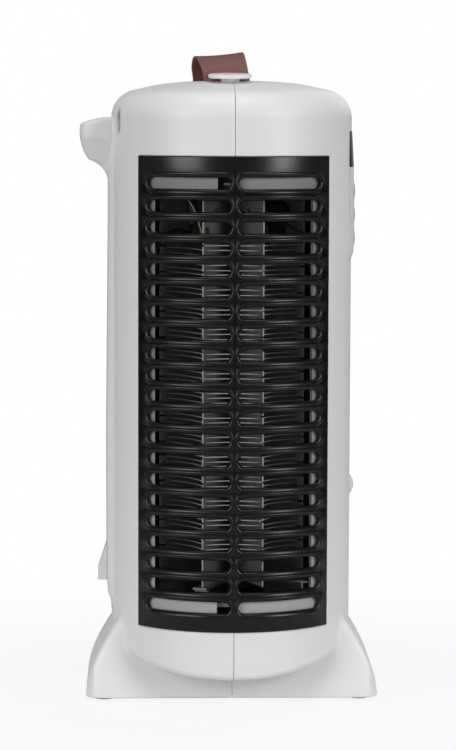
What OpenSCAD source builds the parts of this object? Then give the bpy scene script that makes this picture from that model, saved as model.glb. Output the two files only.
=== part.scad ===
// Tower fan heater: two moulded half shells on a flared base, a curved front
// grille, a wound mica element above a small fan, and a leather carrying strap.
// Millimetres. +Z is up, -Y is the face with the outlet grille. The origin is on
// the floor, on the axis of the round body.

/* [Body] */
// Outer radius of the round body
body_r = 68; // [66:0.5:70]
// Height of the flat rim under the body
rim_z = 17.5; // [16:0.5:20]
// Radius of the arched underside, seen from the front
under_r = 160; // [140:5:200]
// Wall of the moulded shells
wall = 2.5; // [2:0.1:2.8]
// Gap along the seam between the half shells
seam_gap = 0.3; // [0.1:0.1:0.6]
// Distance from the top of the grille up to the rounded shoulder
shoulder_gap = 20.5; // [18:0.5:26]
// Radius of the rounded shoulder
shoulder_r = 17; // [14:0.5:20]
// Radius of the brow between shoulder and crown
brow_r = 100; // [90:5:130]
// Tilt of the surface where shoulder and brow meet, in degrees
brow_a = 15; // [12:1:18]
// Radius of the shallow crown
crown_r = 426; // [380:5:480]

/* [Base] */
// Half width of the base near the floor
base_half_w = 82.5; // [80:0.5:85]
// Half depth of the base at the floor
base_half_d = 39; // [36:0.5:42]
// Lean of the front and back faces of the base, in degrees
base_lean = 11; // [6:1:14]
// Radius of the bulging flanks
flank_r = 79; // [74:0.5:84]
// How far the centre of the flank arc lies below the floor
flank_drop = 2.6; // [0:0.2:6]
// Lean of the rounded corners of the base, in degrees
corner_lean = 12; // [8:1:14]
// Radius of the rounded corners of the base
corner_r = 10; // [6:0.5:12]
// How far outside the flank the rounded corner starts
corner_out = 1.2; // [0.8:0.1:2]
// Clearance of the base skirt above the floor
skirt_z = 2; // [1.5:0.1:2.6]
// Thickness of the base plate
plate_t = 2.2; // [1.8:0.1:2.8]
// Radius of one foot pad
pad_r = 6.15; // [5:0.05:6.5]
// Distance of the pads' middles from the ends of the base
pad_in = 10.5; // [10:0.5:16]
// Distance of the pads' middles from the front and back of the base
pad_back = 13; // [12:0.5:17]

/* [Outlet grille] */
// Rows of slots
grille_rows = 21; // [19:1:22]
// Distance between rows
row_pitch = 11.63; // [10.8:0.01:12]
// Distance between the first row and the second
top_pitch = 12.5; // [11.5:0.1:13]
// Height of one slot opening
slot_h = 6.2; // [5:0.1:6.8]
// Half width of the panel, measured straight across
grille_half_w = 52.8; // [51.5:0.1:54]
// Width of the bar between the two columns of openings
mid_bar = 4.8; // [4.6:0.1:6]
// Plain margin between the slot ends and the panel's side edges
side_margin = 6.3; // [5:0.1:7]
// Plain band above the first row's centre
top_band = 14.6; // [12:0.1:18]
// Plain band below the last row's centre
bottom_band = 13.7; // [12:0.1:16]
// Height of the panel's lower edge above the floor
grille_z0 = 44.7; // [43:0.1:47]
// Thickness of the panel
panel_t = 2.4; // [2:0.1:2.6]
// How far the panel stands proud of the body
panel_proud = 0.6; // [0.3:0.1:0.9]
// Height of the raised rim round each slot
rim_h = 0.9; // [0.5:0.1:1.2]
// Width of the raised rim round each slot
rim_w = 2.1; // [1.6:0.1:2.3]
// Thickness of the shell flange behind the panel's edge
flange_t = 2.2; // [1.8:0.1:2.4]
// Length of the hook slot beside the seam in the left shell's flange
hook_slot = 9.4; // [7:0.2:12]

/* [Intake grille] */
// Half width of the intake panel, measured straight across
intake_half_w = 45; // [42:0.5:46]
// Height of the intake panel's lower edge
intake_z0 = 29.5; // [29:0.5:31]
// Height of the intake panel
intake_h = 24.5; // [22:0.5:25]
// Distance between the upright intake slots
intake_pitch = 5.6; // [5:0.1:7]
// Width of one intake slot
intake_slot = 3; // [2.5:0.1:3.6]

/* [Spine and grip] */
// Thickness of the spine cover
spine_t = 3.2; // [2.6:0.1:3.6]
// Half angle that the spine covers, in degrees
spine_a = 17.5; // [15:0.5:20]
// Height of the spine's lower end
spine_z0 = 48.3; // [48:0.5:54]
// How far the grip lip stands out from the body
lip_out = 17.8; // [16:0.2:18]
// Height of the lip at its root
lip_h = 36; // [32:0.5:38]
// Half width of the lip
lip_half_w = 20; // [17:0.5:20.5]
// How far the cord hood stands out from the spine
hood_out = 4.5; // [4:0.1:6]
// Height of the hood's flat mouth
hood_z0 = 64.5; // [63:0.5:68]
// Radius of the cord opening in the hood
cord_hole_r = 3.4; // [3:0.1:3.5]

/* [Strap] */
// Width of the leather strap
strap_w = 26.5; // [24:0.5:28]
// Thickness of the leather
strap_t = 1.3; // [1:0.1:1.8]
// Outer radius of the arch
arch_r = 16.8; // [15:0.2:18]
// Height of the arch above the top of the body
arch_h = 16.3; // [16:0.1:20]
// Gap between the arch and the studs' caps
stud_gap = 0.6; // [0.4:0.1:2]
// Sideways place of the strap's middle
strap_x = -5; // [-6:0.5:0]
// Skew of the strap across the top, in degrees
strap_skew = 6.3; // [0:0.1:8]
// Lean of the arch to the left, in degrees
strap_lean = 5; // [0:0.5:7]
// Radius of the stud's cap
stud_r = 12.1; // [11:0.1:12.5]
// Height of the stud's cap
stud_h = 3.1; // [2.8:0.1:4]
// Radius of the stud's stem
stem_r = 5.2; // [4:0.1:6]

/* [Controls] */
// Height of the control console on the right side
console_h = 72; // [70:0.5:76]
// Greatest thickness of the console
console_t = 1.8; // [1.6:0.1:2.2]
// Half angle that the console covers, in degrees
console_a = 15; // [13:0.5:17]
// Height of the black display lens
lens_h = 20; // [18:0.5:22]
// Radius of one key
key_r = 4.6; // [4:0.1:5]
// Distance between keys
key_pitch = 13; // [11.5:0.5:14]
// Travel of a key
key_travel = 0.8; // [0.5:0.1:1]
// Height of the round power button
power_z = 118.5; // [112:0.5:125]
// Radius of the round power button
power_r = 5.6; // [5:0.1:6]
// Travel of the power button
power_travel = 1.2; // [0.8:0.1:1.4]
// Distance of the control board from the shell's inner wall
board_gap = 9.5; // [9:0.5:11]

/* [Element] */
// Radius to the outer edges of the mica vanes
vane_r = 44; // [42:0.2:45]
// Thickness of a mica vane
vane_t = 0.8; // [0.6:0.1:1]
// Depth of the notches that hold the wire
notch_d = 3.9; // [2:0.1:5]
// Turns of the heating wire
turns = 24; // [18:1:24]
// Radius of the heating wire
wire_r = 0.35; // [0.3:0.05:0.45]
// Plain length of vane above the top of the window down to the winding
wind_top_gap = 28; // [24:1:34]
// Plain length of vane below the winding
wind_bottom_gap = 16; // [12:1:20]

/* [Fan] */
// Height of the fan deck's top face
deck_z = 60; // [59:0.5:61]
// Radius of the impeller
fan_r = 39.4; // [36:0.2:39.6]
// Number of blades
blades = 7; // [5:1:9]
// Radius of the motor shaft
shaft_r = 1.5; // [1.2:0.1:2]
// Radius of the motor can
motor_r = 19; // [17:0.5:21]
// Height of the motor can
motor_h = 20; // [17:0.5:20.5]

/* [Hidden] */
$fn = 96;
fine = 240;

// Small clearances, each used wherever two pieces meet
fit = 0.2;
slip = 0.3;
run = 0.04;
seat_gap = 0.1;
far = 400;

// Heights that follow from the grille
last_row_z = grille_z0 + bottom_band;
first_row_z = last_row_z + (grille_rows - 2) * row_pitch + top_pitch;
grille_z1 = first_row_z + top_band;
shoulder_z = grille_z1 + shoulder_gap;
window_z0 = last_row_z + row_pitch / 2;
window_z1 = first_row_z - top_pitch / 2;

// Centres of the arcs that make the domed top
shoulder_x = body_r - shoulder_r;
brow_x = shoulder_x - (brow_r - shoulder_r) * sin(brow_a);
brow_z = shoulder_z - (brow_r - shoulder_r) * cos(brow_a);
crown_a = asin(brow_x / (crown_r - brow_r));
crown_z = brow_z - (crown_r - brow_r) * cos(crown_a);
top_z = crown_z + crown_r;
stud_y = arch_r + stud_r + stud_gap;

// Radii in the grille recess
panel_out = body_r + panel_proud;
panel_in = panel_out - panel_t;
recess_r = panel_in - fit;
flange_in = recess_r - flange_t;
grille_a = asin(grille_half_w / panel_out);
slot_x0 = mid_bar / 2;
slot_x1 = grille_half_w - side_margin;
window_x = slot_x1 - 3;
rib_t = 1.6;
intake_a = asin(intake_half_w / panel_out);
intake_z1 = intake_z0 + intake_h;

// Base
flank_x = base_half_w - flank_r;
plate_z = skirt_z + 1;
plate_top = plate_z + plate_t;
plate_half_w = flank_x + sqrt(pow(flank_r - wall, 2) - pow(plate_top + flank_drop, 2)) - 0.3;
base_screw_x = base_half_w - 24.5;
base_screw_y = base_half_d - 19;
base_boss_h = 22;
pad_x = base_half_w - pad_in;
pad_y = base_half_d - pad_back;

// Inside radii
shell_in = body_r - wall;
shield_r = 50;
shield_t = 0.6;
deck_t = 2;
deck_r = flange_in - 0.3;
hook_t = 1.2;
ledge_w = 4;
shroud_r = fan_r + 1.6;
shroud_t = 2;
shroud_z0 = 36;
fan_z0 = shroud_z0 + 4;
fan_h = 14;
motor_top = shroud_z0 + 1.6;

// Screws that join the half shells
boss_r = 4.4;
boss_y = shell_in - boss_r - 4.6;
boss_right = 14;
boss_zs = [window_z0 + 22, (window_z0 + window_z1) / 2, shoulder_z - 9];
screw_r = 1.5;
head_r = 2.8;
head_t = 2;

// Console
console_z1 = shoulder_z - 7;
console_z0 = console_z1 - console_h;
lens_z0 = console_z1 - lens_h;
bulge_z = console_z0 + 14;
board_x = shell_in - board_gap;
board_t = 1.6;
board_half_w = 19;
board_z0 = console_z0 - 6;
board_z1 = console_z1 + 3;
key_zs = [for (i = [0:2]) console_z0 + 12 + i * key_pitch];
switch_h = 3.2;
power_switch_x = shell_in - 13.5;
power_switch_h = 16.4;

// Spine
lip_reach = body_r + lip_out;
hood_reach = body_r + spine_t + hood_out;
lip_z1 = shoulder_z;
lip_z0 = lip_z1 - lip_h;
peg_r = 2.4;
peg_zs = [spine_z0 + 48, (spine_z0 + lip_z0) / 2, lip_z0 - 16];
peg_l = 5;
mouth_h = 11;
cord_z = hood_z0 + 9;

// Winding
wind_z1 = window_z1 - wind_top_gap;
wind_z0 = window_z0 + wind_bottom_gap;
wind_pitch = (wind_z1 - wind_z0) / turns;
wire_path_r = vane_r - notch_d + wire_r + 0.2;
vane_z0 = window_z0 + 1.5;
vane_z1 = window_z1;
rings = 24;
vane_first_a = -90 + 22.5;

// Sector of a ring about the vertical axis, a_mid degrees from +X
module ring_sector(r0, r1, z0, z1, a_mid, a_half) {
    rotate([0, 0, a_mid - a_half]) rotate_extrude(angle = 2 * a_half, $fn = fine)
        translate([r0, z0]) square([r1 - r0, z1 - z0]);
}

// Bar along X with its axis at y, z
module x_rod(r, x0, x1, y, z) {
    translate([x0, y, z]) rotate([0, 90, 0]) cylinder(r = r, h = x1 - x0);
}

// Half section of the body of revolution, drawn in by inset all round
module body_section(inset) {
    translate([0, rim_z + inset]) square([body_r - inset, shoulder_z - rim_z - inset]);
    translate([shoulder_x, shoulder_z]) circle(shoulder_r - inset);
    intersection() {
        translate([brow_x, brow_z]) circle(brow_r - inset, $fn = 2 * fine);
        translate([0, shoulder_z - 1]) square([shoulder_x + (shoulder_r - inset) * sin(brow_a), far]);
    }
    intersection() {
        translate([0, crown_z]) circle(crown_r - inset, $fn = 4 * fine);
        translate([0, shoulder_z - 1]) square([(crown_r - inset) * sin(crown_a), far]);
    }
}

module body_form(inset) {
    rotate_extrude($fn = fine) body_section(inset);
}

// Flared base: flank arcs seen from the front, leaning faces seen from the side,
// and a leaning rounded corner on each side
module base_form(inset, drop) {
    top = rim_z + 42;
    half_top = base_half_d - inset - (top - skirt_z) * tan(base_lean);
    half_low = base_half_d - inset + drop * tan(base_lean);
    for (side = [-1, 1]) intersection() {
        rotate([90, 0, 0]) linear_extrude(2 * body_r, center = true) intersection() {
            translate([side * flank_x, -flank_drop]) circle(flank_r - inset, $fn = fine);
            translate([side < 0 ? -far : 0, skirt_z - drop]) square([far, top - skirt_z + drop]);
        }
        rotate([90, 0, 90]) linear_extrude(far, center = true) polygon([
            [-half_low, skirt_z - drop], [half_low, skirt_z - drop],
            [half_top, top], [-half_top, top]]);
        translate([side * (base_half_w + corner_out - inset), 0, 0]) rotate([0, -side * corner_lean, 0])
            translate([0, 0, -20]) linear_extrude(120)
                rounded_bar(side, base_half_d - inset, max(corner_r - inset, 1));
    }
}

// Plan of one side of the base with rounded outer corners, ending at x = 0
module rounded_bar(side, half_d, r) {
    mirror([side < 0 ? 0 : 1, 0]) {
        translate([r, -half_d]) square([far / 2, 2 * half_d]);
        translate([0, r - half_d]) square([far / 2, 2 * (half_d - r)]);
        for (s = [-1, 1]) translate([r, s * (half_d - r)]) circle(r);
    }
}

// The body with its arched underside, drawn in by inset all round
module arched_body(inset) {
    intersection() {
        body_form(inset);
        rotate([90, 0, 0]) linear_extrude(far, center = true) {
            translate([0, rim_z + under_r]) circle(under_r - inset, $fn = fine);
            translate([-far / 2, rim_z + under_r / 2]) square(far);
        }
    }
}

module outer_form() {
    arched_body(0);
    base_form(0, 0);
}

module grille_recess() {
    ring_sector(recess_r, body_r + 5, grille_z0 - fit, grille_z1 + fit, -90, grille_a + 0.2);
    ring_sector(recess_r, body_r + 5, intake_z0 - fit, intake_z1 + fit, 90, intake_a + 0.2);
}

// Flange that backs the edges of both grilles
module flange_form() {
    intersection() {
        body_form(0.5);
        union() {
            ring_sector(flange_in, body_r, grille_z0 - 3, grille_z1 + 3, -90, grille_a + 3);
            ring_sector(flange_in, body_r, intake_z0 - 3, intake_z1 + 3, 90, intake_a + 3);
        }
    }
}

// Openings through the flange; the left shell's opening has hook slots at the seam
module window_cut(hooks) {
    translate([-window_x, -body_r - 5, window_z0])
        cube([2 * window_x, body_r - 25, window_z1 - window_z0]);
    if (hooks) translate([-hook_slot, -body_r - 5, window_z0 - row_pitch])
        cube([hook_slot, 30, window_z1 - window_z0 + 2 * row_pitch]);
    translate([-intake_half_w + 4, 25, intake_z0 + 4]) cube([2 * intake_half_w - 8, 60, intake_h - 8]);
}

// Upright guide ribs beside the element, seen through the grille
module guide_ribs(side) {
    intersection() {
        body_form(wall / 2);
        translate([side > 0 ? window_x : -window_x - rib_t, -body_r, window_z0 - 2])
            cube([rib_t, body_r - 31, window_z1 - window_z0 + 4]);
    }
}

// One half shell with its ledges, bosses and ribs; side is -1 left, 1 right
module half_shell(side) {
    difference() {
        intersection() {
            union() {
                difference() {
                    outer_form();
                    arched_body(wall);
                    base_form(wall, 6);
                }
                flange_form();
                guide_ribs(side);
                // ledge under the fan deck
                difference() {
                    ring_sector(deck_r - ledge_w, shell_in + 0.5, deck_z - deck_t - 2,
                        deck_z - deck_t, 90, 180);
                    base_form(wall, 0);
                }
                // seats of the top bracket
                for (s = [-1, 1]) intersection() {
                    body_form(wall / 2);
                    translate([-9, s > 0 ? flange_in - 6 : -body_r, window_z1 + 1.2])
                        cube([18, body_r - flange_in + 6, 4]);
                }
                base_bosses();
                if (side < 0) left_bosses(); else right_bosses();
            }
            outer_form();
            translate([side < 0 ? -far : seam_gap / 2, -far / 2, 0])
                cube([far - seam_gap / 2, far, far]);
        }
        grille_recess();
        window_cut(side < 0);
        stud_holes();
        base_screw_holes();
        if (side < 0) left_holes(); else right_holes();
    }
}

// Bosses of the base, each tied to the nearer wall by a rib
module base_bosses() {
    for (x = [-1, 1], y = [-1, 1]) translate([x * base_screw_x, y * base_screw_y, plate_top]) {
        cylinder(r = 4, h = base_boss_h);
        translate([-1, y > 0 ? 0 : base_screw_y - base_half_d, 0])
            cube([2, base_half_d - base_screw_y, base_boss_h]);
    }
}

module base_screw_holes() {
    for (x = [-1, 1], y = [-1, 1]) translate([x * base_screw_x, y * base_screw_y, 0])
        cylinder(r = screw_r - 0.1, h = plate_top + 16);
}

module left_bosses() {
    for (z = boss_zs) x_rod(boss_r, -body_r, 0, boss_y, z);
}

module left_holes() {
    for (z = boss_zs) {
        x_rod(head_r + slip, -far, -boss_right + head_t, boss_y, z);
        x_rod(screw_r + fit, -boss_right, 1, boss_y, z);
    }
    for (z = peg_zs) x_rod(peg_r + fit, -body_r - 5, -body_r + 8, 0, z);
    x_rod(cord_hole_r, -body_r - 5, -body_r + 8, 0, cord_z);
}

module right_bosses() {
    for (z = boss_zs) {
        x_rod(boss_r, 0, boss_right, boss_y, z);
        translate([0, boss_y, z - 1]) cube([boss_right, body_r - boss_y, 2]);
    }
    // pillars that carry the control board
    for (y = [-1, 1], z = [board_z0 + 5, board_z1 - 5])
        x_rod(2.5, board_x + board_t, body_r, y * (board_half_w - 4), z);
    // cheeks that hold the power switch
    for (s = [-1, 1]) translate([power_switch_x + 1, -6, power_z + s * (power_switch_h / 2 + 1) - 0.8])
        cube([shell_in - power_switch_x, 12, 1.6]);
}

module right_holes() {
    for (z = boss_zs) x_rod(screw_r - 0.1, -1, boss_right - 3, boss_y, z);
    for (z = key_zs) x_rod(key_r + slip, shell_in - 8, body_r + 5, 0, z);
    x_rod(power_r + slip, shell_in - 8, body_r + 5, 0, power_z);
    translate([shell_in - 6, -8, lens_z0 + 4]) cube([14, 16, lens_h - 8]);
    for (s = [-1, 1]) x_rod(1.4, shell_in - 5, body_r + 5, s * 12, console_z0 + 25);
}

// Plan place of the front (-1) and rear (1) stud
function stud_pos(s) = [strap_x - s * stud_y * sin(strap_skew), s * stud_y * cos(strap_skew)];

// Puts a piece on the crown, square to the surface there, with its z = 0 on the surface
module on_crown(pos) {
    turn = atan2(pos[1], pos[0]);
    translate([0, 0, crown_z]) rotate([0, 0, turn]) rotate([0, asin(norm(pos) / crown_r), 0])
        translate([0, 0, crown_r]) rotate([0, 0, -turn]) children();
}

module stud_holes() {
    for (s = [-1, 1]) on_crown(stud_pos(s)) translate([0, 0, -12])
        cylinder(r = stem_r - 1 + fit, h = 20);
}

module left_shell() color("whitesmoke") half_shell(-1);

module right_shell() color("whitesmoke") half_shell(1);

// Both columns of round-ended openings of the outlet, grown by grow all round
module slot_pattern(grow) {
    for (row = [0:grille_rows - 1], side = [-1, 1])
        translate([side * (slot_x0 + slot_x1) / 2,
            row == grille_rows - 1 ? first_row_z : last_row_z + row * row_pitch]) {
            half = (slot_x1 - slot_x0 - slot_h) / 2;
            square([2 * half, slot_h + 2 * grow], center = true);
            for (end = [-1, 1]) translate([end * half, 0]) circle(slot_h / 2 + grow, $fn = 32);
        }
}

// Extrudes a shape drawn in X and Z through the front of the body
module through_front() {
    translate([0, -20, 0]) rotate([90, 0, 0]) linear_extrude(body_r) children();
}

// Curved front grille: a panel, the raised rims, and round-ended slots cut through both
module outlet_grille() color([0.1, 0.1, 0.1]) difference() {
    union() {
        ring_sector(panel_in, panel_out, grille_z0, grille_z1, -90, grille_a);
        intersection() {
            ring_sector(panel_out - 0.4, panel_out + rim_h, grille_z0, grille_z1, -90, grille_a);
            through_front() slot_pattern(rim_w);
        }
        // hook beside the seam at top and bottom
        for (z = [window_z0 - row_pitch + 1, window_z1 + 3])
            ring_sector(flange_in - hook_t, panel_in + 0.3, z, z + row_pitch - 4, -93, 1.6);
    }
    through_front() slot_pattern(0);
}

module intake_grille() color([0.1, 0.1, 0.1]) difference() {
    ring_sector(panel_in, panel_out, intake_z0, intake_z1, 90, intake_a);
    slot_l = intake_h - 10 - intake_slot;
    for (i = [-7:7]) if (abs(i) * intake_pitch < intake_half_w - 6)
        translate([i * intake_pitch, 20, intake_z0 + 5 + intake_slot / 2]) {
            translate([-intake_slot / 2, 0, 0]) cube([intake_slot, body_r, slot_l]);
            for (z = [0, slot_l]) translate([0, 0, z]) rotate([-90, 0, 0])
                cylinder(d = intake_slot, h = body_r, $fn = 24);
        }
}

// Outline of the grip lip seen from the front: a gently falling top, a bowed outer
// edge and a hollow underside for the fingers
module lip_outline() {
    top_r = 52;
    nose_r = 26.4;
    difference() {
        intersection() {
            translate([-body_r + 2, lip_z1 + 0.6 - top_r]) circle(top_r, $fn = fine);
            union() {
                translate([nose_r - lip_reach, lip_z1 - 8]) circle(nose_r, $fn = fine);
                translate([-body_r - 6, lip_z0 - 1]) square([12, lip_h - 7]);
            }
            translate([-lip_reach - 1, lip_z0]) square([lip_out + 4, lip_h + 1]);
        }
        translate([-lip_reach + 1.9, lip_z0 - 1.4]) circle(14.2);
    }
}

// Proud cover down the left side with the grip lip at its head
module spine_cover() color("whitesmoke") {
    r0 = body_r + 0.1;
    difference() {
        union() {
            ring_sector(r0, body_r + spine_t, spine_z0 + 14.7, shoulder_z - 2, 180, spine_a);
            // the lower end thins out towards the body
            intersection() {
                rotate([0, 0, 180 - spine_a]) rotate_extrude(angle = 2 * spine_a, $fn = fine)
                    polygon([[r0, spine_z0], [r0 + 1, spine_z0], [body_r + spine_t, spine_z0 + 14.7],
                        [r0, spine_z0 + 14.7]]);
                translate([-far, -far / 2, spine_z0]) cube([far, far, 30]);
            }
            difference() {
                intersection() {
                    rotate([90, 0, 0]) linear_extrude(far, center = true) lip_outline();
                    lip_plan();
                    lip_side();
                }
                body_form(-0.1);
            }
            for (z = peg_zs) x_rod(peg_r, -body_r - 1, -body_r + peg_l, 0, z);
        }
        x_rod(cord_hole_r, -body_r - 5, -body_r + 8, 0, cord_z);
        // channel that lets a cord run down the spine
        translate([-body_r - spine_t, 0, spine_z0 - 1])
            cylinder(r = cord_hole_r, h = hood_z0 + mouth_h - spine_z0 + 1);
    }
}

// The lip seen from the side: full width at the rim, drawn in towards its root
module lip_side() {
    rim_low = lip_z1 - 13;
    root_w = lip_half_w * 0.55;
    rotate([90, 0, 90]) linear_extrude(far, center = true) polygon([
        [-root_w, lip_z0 - 1], [root_w, lip_z0 - 1], [lip_half_w + 1, rim_low],
        [lip_half_w + 1, lip_z1 + 5], [-lip_half_w - 1, lip_z1 + 5], [-lip_half_w - 1, rim_low]]);
}

// The lip's plan, with rounded outer corners
module lip_plan() {
    r = 9;
    translate([0, 0, lip_z0 - 5]) linear_extrude(lip_h + 10) {
        translate([-lip_reach, -lip_half_w + r]) square([body_r, 2 * (lip_half_w - r)]);
        translate([-lip_reach + r, -lip_half_w]) square([body_r - r, 2 * lip_half_w]);
        for (s = [-1, 1]) translate([-lip_reach + r, s * (lip_half_w - r)]) circle(r);
    }
}

// Small hood low on the spine with the downward mouth for a mains cord
module cord_hood() color("whitesmoke") {
    inner = body_r + spine_t + 0.05;
    difference() {
        intersection() {
            rotate([90, 0, 0]) linear_extrude(18, center = true) polygon([
                [-body_r, hood_z0], [-hood_reach, hood_z0], [-hood_reach, hood_z0 + 6],
                [-body_r - spine_t, hood_z0 + 20], [-body_r, hood_z0 + 20]]);
            ring_sector(inner, hood_reach + 2, hood_z0 - 1, hood_z0 + 24, 180, 12);
        }
        translate([-body_r - spine_t, 0, hood_z0 - 1]) cylinder(r = cord_hole_r, h = mouth_h + 1);
        x_rod(cord_hole_r, -body_r - spine_t, -body_r + 8, 0, cord_z);
    }
}

// Leather band: a round arch that leans a little, and two forked ends that lie on
// the crown and hold the studs' stems
module carry_strap() color([0.54, 0.39, 0.37]) {
    arch_z = arch_h - arch_r;
    fork = stem_r + 2.6;
    tab = strap_w / 2 - 0.4;
    difference() {
        union() {
            translate([strap_x, 0, top_z]) rotate([0, 0, strap_skew]) rotate([0, -strap_lean, 0])
                rotate([90, 0, 90]) linear_extrude(strap_w, center = true) difference() {
                    union() {
                        translate([0, arch_z]) circle(arch_r);
                        translate([-arch_r, -6]) square([2 * arch_r, arch_z + 6]);
                    }
                    translate([0, arch_z]) circle(arch_r - strap_t);
                    translate([strap_t - arch_r, -7]) square([2 * (arch_r - strap_t), arch_z + 7]);
                }
            intersection() {
                body_form(-seat_gap - strap_t);
                translate([strap_x, 0, top_z - 12]) rotate([0, 0, strap_skew]) linear_extrude(20)
                    for (s = [-1, 1]) scale([1, s]) polygon([
                        [-tab, arch_r - strap_t / 2], [tab, arch_r - strap_t / 2],
                        [tab, arch_r], [fork, stud_y - stem_r], [fork, stud_y],
                        [-fork, stud_y], [-fork, stud_y - stem_r], [-tab, arch_r]]);
            }
        }
        body_form(-seat_gap);
        for (s = [-1, 1]) on_crown(stud_pos(s)) translate([0, 0, -2]) cylinder(r = stem_r + fit, h = 8);
    }
}

// Flat mushroom stud: a cap with rounded edges, a stem through strap and shell, and a
// spread foot inside
module strap_stud(s) on_crown(stud_pos(s)) {
    cap_z = strap_t + 2 * seat_gap;
    edge = 1;
    crown = 0.4;
    ball = (stud_r * stud_r + crown * crown) / (2 * crown);
    translate([0, 0, cap_z]) rotate_extrude() intersection() {
        union() {
            square([stud_r - edge, stud_h]);
            translate([0, edge]) square([stud_r, stud_h - 2 * edge - crown]);
            for (z = [edge, stud_h - edge - crown]) translate([stud_r - edge, z]) circle(edge);
        }
        translate([0, stud_h - ball]) circle(ball, $fn = fine);
        square([stud_r + 1, stud_h]);
    }
    translate([0, 0, seat_gap]) cylinder(r = stem_r, h = cap_z);
    translate([0, 0, -wall - 1]) cylinder(r = stem_r - 1, h = wall + 2);
    translate([0, 0, -wall - 2]) cylinder(r = stem_r + 2, h = 2 - slip);
}

module front_stud() color("gainsboro") strap_stud(-1);

module rear_stud() color("gainsboro") strap_stud(1);

// Section of the wedge-shaped console, as radius and height
module console_section(z0, z1) {
    r0 = body_r + 0.1;
    intersection() {
        polygon([[r0, console_z0], [body_r + console_t - 0.4, console_z0 + 4],
            [body_r + console_t, bulge_z], [body_r + console_t * 0.9, lens_z0 - 12],
            [body_r + console_t * 0.7, lens_z0 + 2], [r0 + 0.5, lens_z0 + lens_h * 0.7],
            [r0 + 0.15, console_z1], [r0, console_z1]]);
        translate([0, z0]) square([far, z1 - z0]);
    }
}

module console_part(z0, z1) {
    rotate([0, 0, -console_a]) rotate_extrude(angle = 2 * console_a, $fn = fine)
        console_section(z0, z1);
}

module control_fascia() color("whitesmoke") difference() {
    union() {
        console_part(console_z0, lens_z0 - fit / 2);
        for (s = [-1, 1]) x_rod(1.2, shell_in - 1, body_r + 0.6, s * 12, console_z0 + 25);
    }
    for (z = key_zs) x_rod(key_r + slip, shell_in, body_r + 5, 0, z);
}

module display_lens() color([0.03, 0.03, 0.03]) union() {
    console_part(lens_z0 + fit / 2, console_z1);
    intersection() {
        body_form(-0.4);
        translate([shell_in, -8 + fit, lens_z0 + 4 + fit])
            cube([5, 16 - 2 * fit, lens_h - 8 - 2 * fit]);
    }
}

module display_module() color([0.12, 0.12, 0.12])
    translate([board_x + board_t, -7, lens_z0 + 5]) cube([5, 14, lens_h - 10]);

module control_board() color([0.1, 0.35, 0.2])
    translate([board_x, -board_half_w, board_z0]) cube([board_t, 2 * board_half_w, board_z1 - board_z0]);

module tact_switches() color([0.2, 0.2, 0.2]) for (z = key_zs) {
    translate([board_x + board_t, -3, z - 3]) cube([switch_h - 0.8, 6, 6]);
    x_rod(1.5, board_x + board_t, board_x + board_t + switch_h, 0, z);
}

// Round plug along X with a crowned end that stands rise above its edge
module crowned_rod(r, x0, face_x, rise, z) {
    ball = (r * r + rise * rise) / (2 * rise);
    translate([x0, 0, z]) rotate([0, 90, 0]) rotate_extrude() intersection() {
        square([r, face_x - x0]);
        translate([0, face_x - x0 - ball]) circle(ball, $fn = fine);
    }
}

// Round key: a low crowned cap, a stem and a stop flange inside the shell
module panel_key(z) {
    stem_x = board_x + board_t + switch_h + key_travel + 0.2;
    face_x = body_r + console_t + 0.5;
    crowned_rod(key_r, shell_in - 1, face_x, 0.5, z);
    x_rod(key_r + 1, shell_in - 2, shell_in - 0.6, 0, z);
    x_rod(1.5, stem_x, shell_in - 1, 0, z);
}

module low_key() color("silver") panel_key(key_zs[0]);

module high_key() color("silver") panel_key(key_zs[1]);

module timer_key() color("silver") panel_key(key_zs[2]);

// Domed power button with its stop flange
module power_button() color("whitesmoke") {
    crowned_rod(power_r, shell_in - 2, body_r + 2.4, 2.2, power_z);
    x_rod(power_r + 1.2, shell_in - 2.8, shell_in - 1.2, 0, power_z);
}

module power_switch() color([0.15, 0.15, 0.15]) {
    x_rod(2.5, power_switch_x + 6, shell_in - 2.8 - power_travel - 0.3, 0, power_z);
    translate([power_switch_x, -5.5, power_z - power_switch_h / 2]) cube([7, 11, power_switch_h]);
}

// Four mica plates crossed on the axis, notched along both edges for the wire
module mica_vanes() color([0.62, 0.57, 0.5]) for (i = [0:3])
    rotate([0, 0, vane_first_a + 45 * i]) rotate([90, 0, 0])
        linear_extrude(vane_t, center = true) difference() {
            translate([-vane_r, vane_z0]) square([2 * vane_r, vane_z1 - vane_z0]);
            for (n = [0:turns - 1], edge = [0, 1]) {
                z = wind_z0 + wind_pitch * (n + (i + 4 * edge) / 8);
                translate([edge == 0 ? vane_r - notch_d : -vane_r - 1, z - wire_r - 0.2])
                    square([notch_d + 1, 2 * wire_r + 0.4]);
            }
            // waist cut-outs that let the air reach the axis
            for (s = [-1, 1]) translate([s * vane_r * 0.55, vane_z1 - 12]) circle(3, $fn = 24);
        }

// Tube of n sides swept along a path; ref is a direction the path never follows
function unit(v) = v / norm(v);
function along(p, i) = unit(p[min(i + 1, len(p) - 1)] - p[max(i - 1, 0)]);
function ring_at(p, i, r, n, ref) =
    let (t = along(p, i), s = unit(cross(t, ref)), u = cross(s, t))
    [for (k = [0:n - 1]) p[i] + r * (cos(360 * k / n) * s + sin(360 * k / n) * u)];

module tube(path, r, n, ref) {
    rows = len(path);
    points = [for (i = [0:rows - 1]) each ring_at(path, i, r, n, ref)];
    walls = [for (i = [0:rows - 2], k = [0:n - 1], h = [0, 1])
        let (a = i * n + k, b = i * n + (k + 1) % n)
        h == 0 ? [a, b, b + n] : [a, b + n, a + n]];
    polyhedron(points, concat(walls, [[for (k = [n - 1:-1:0]) k]],
        [[for (k = [0:n - 1]) (rows - 1) * n + k]]), convexity = 10);
}

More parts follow.
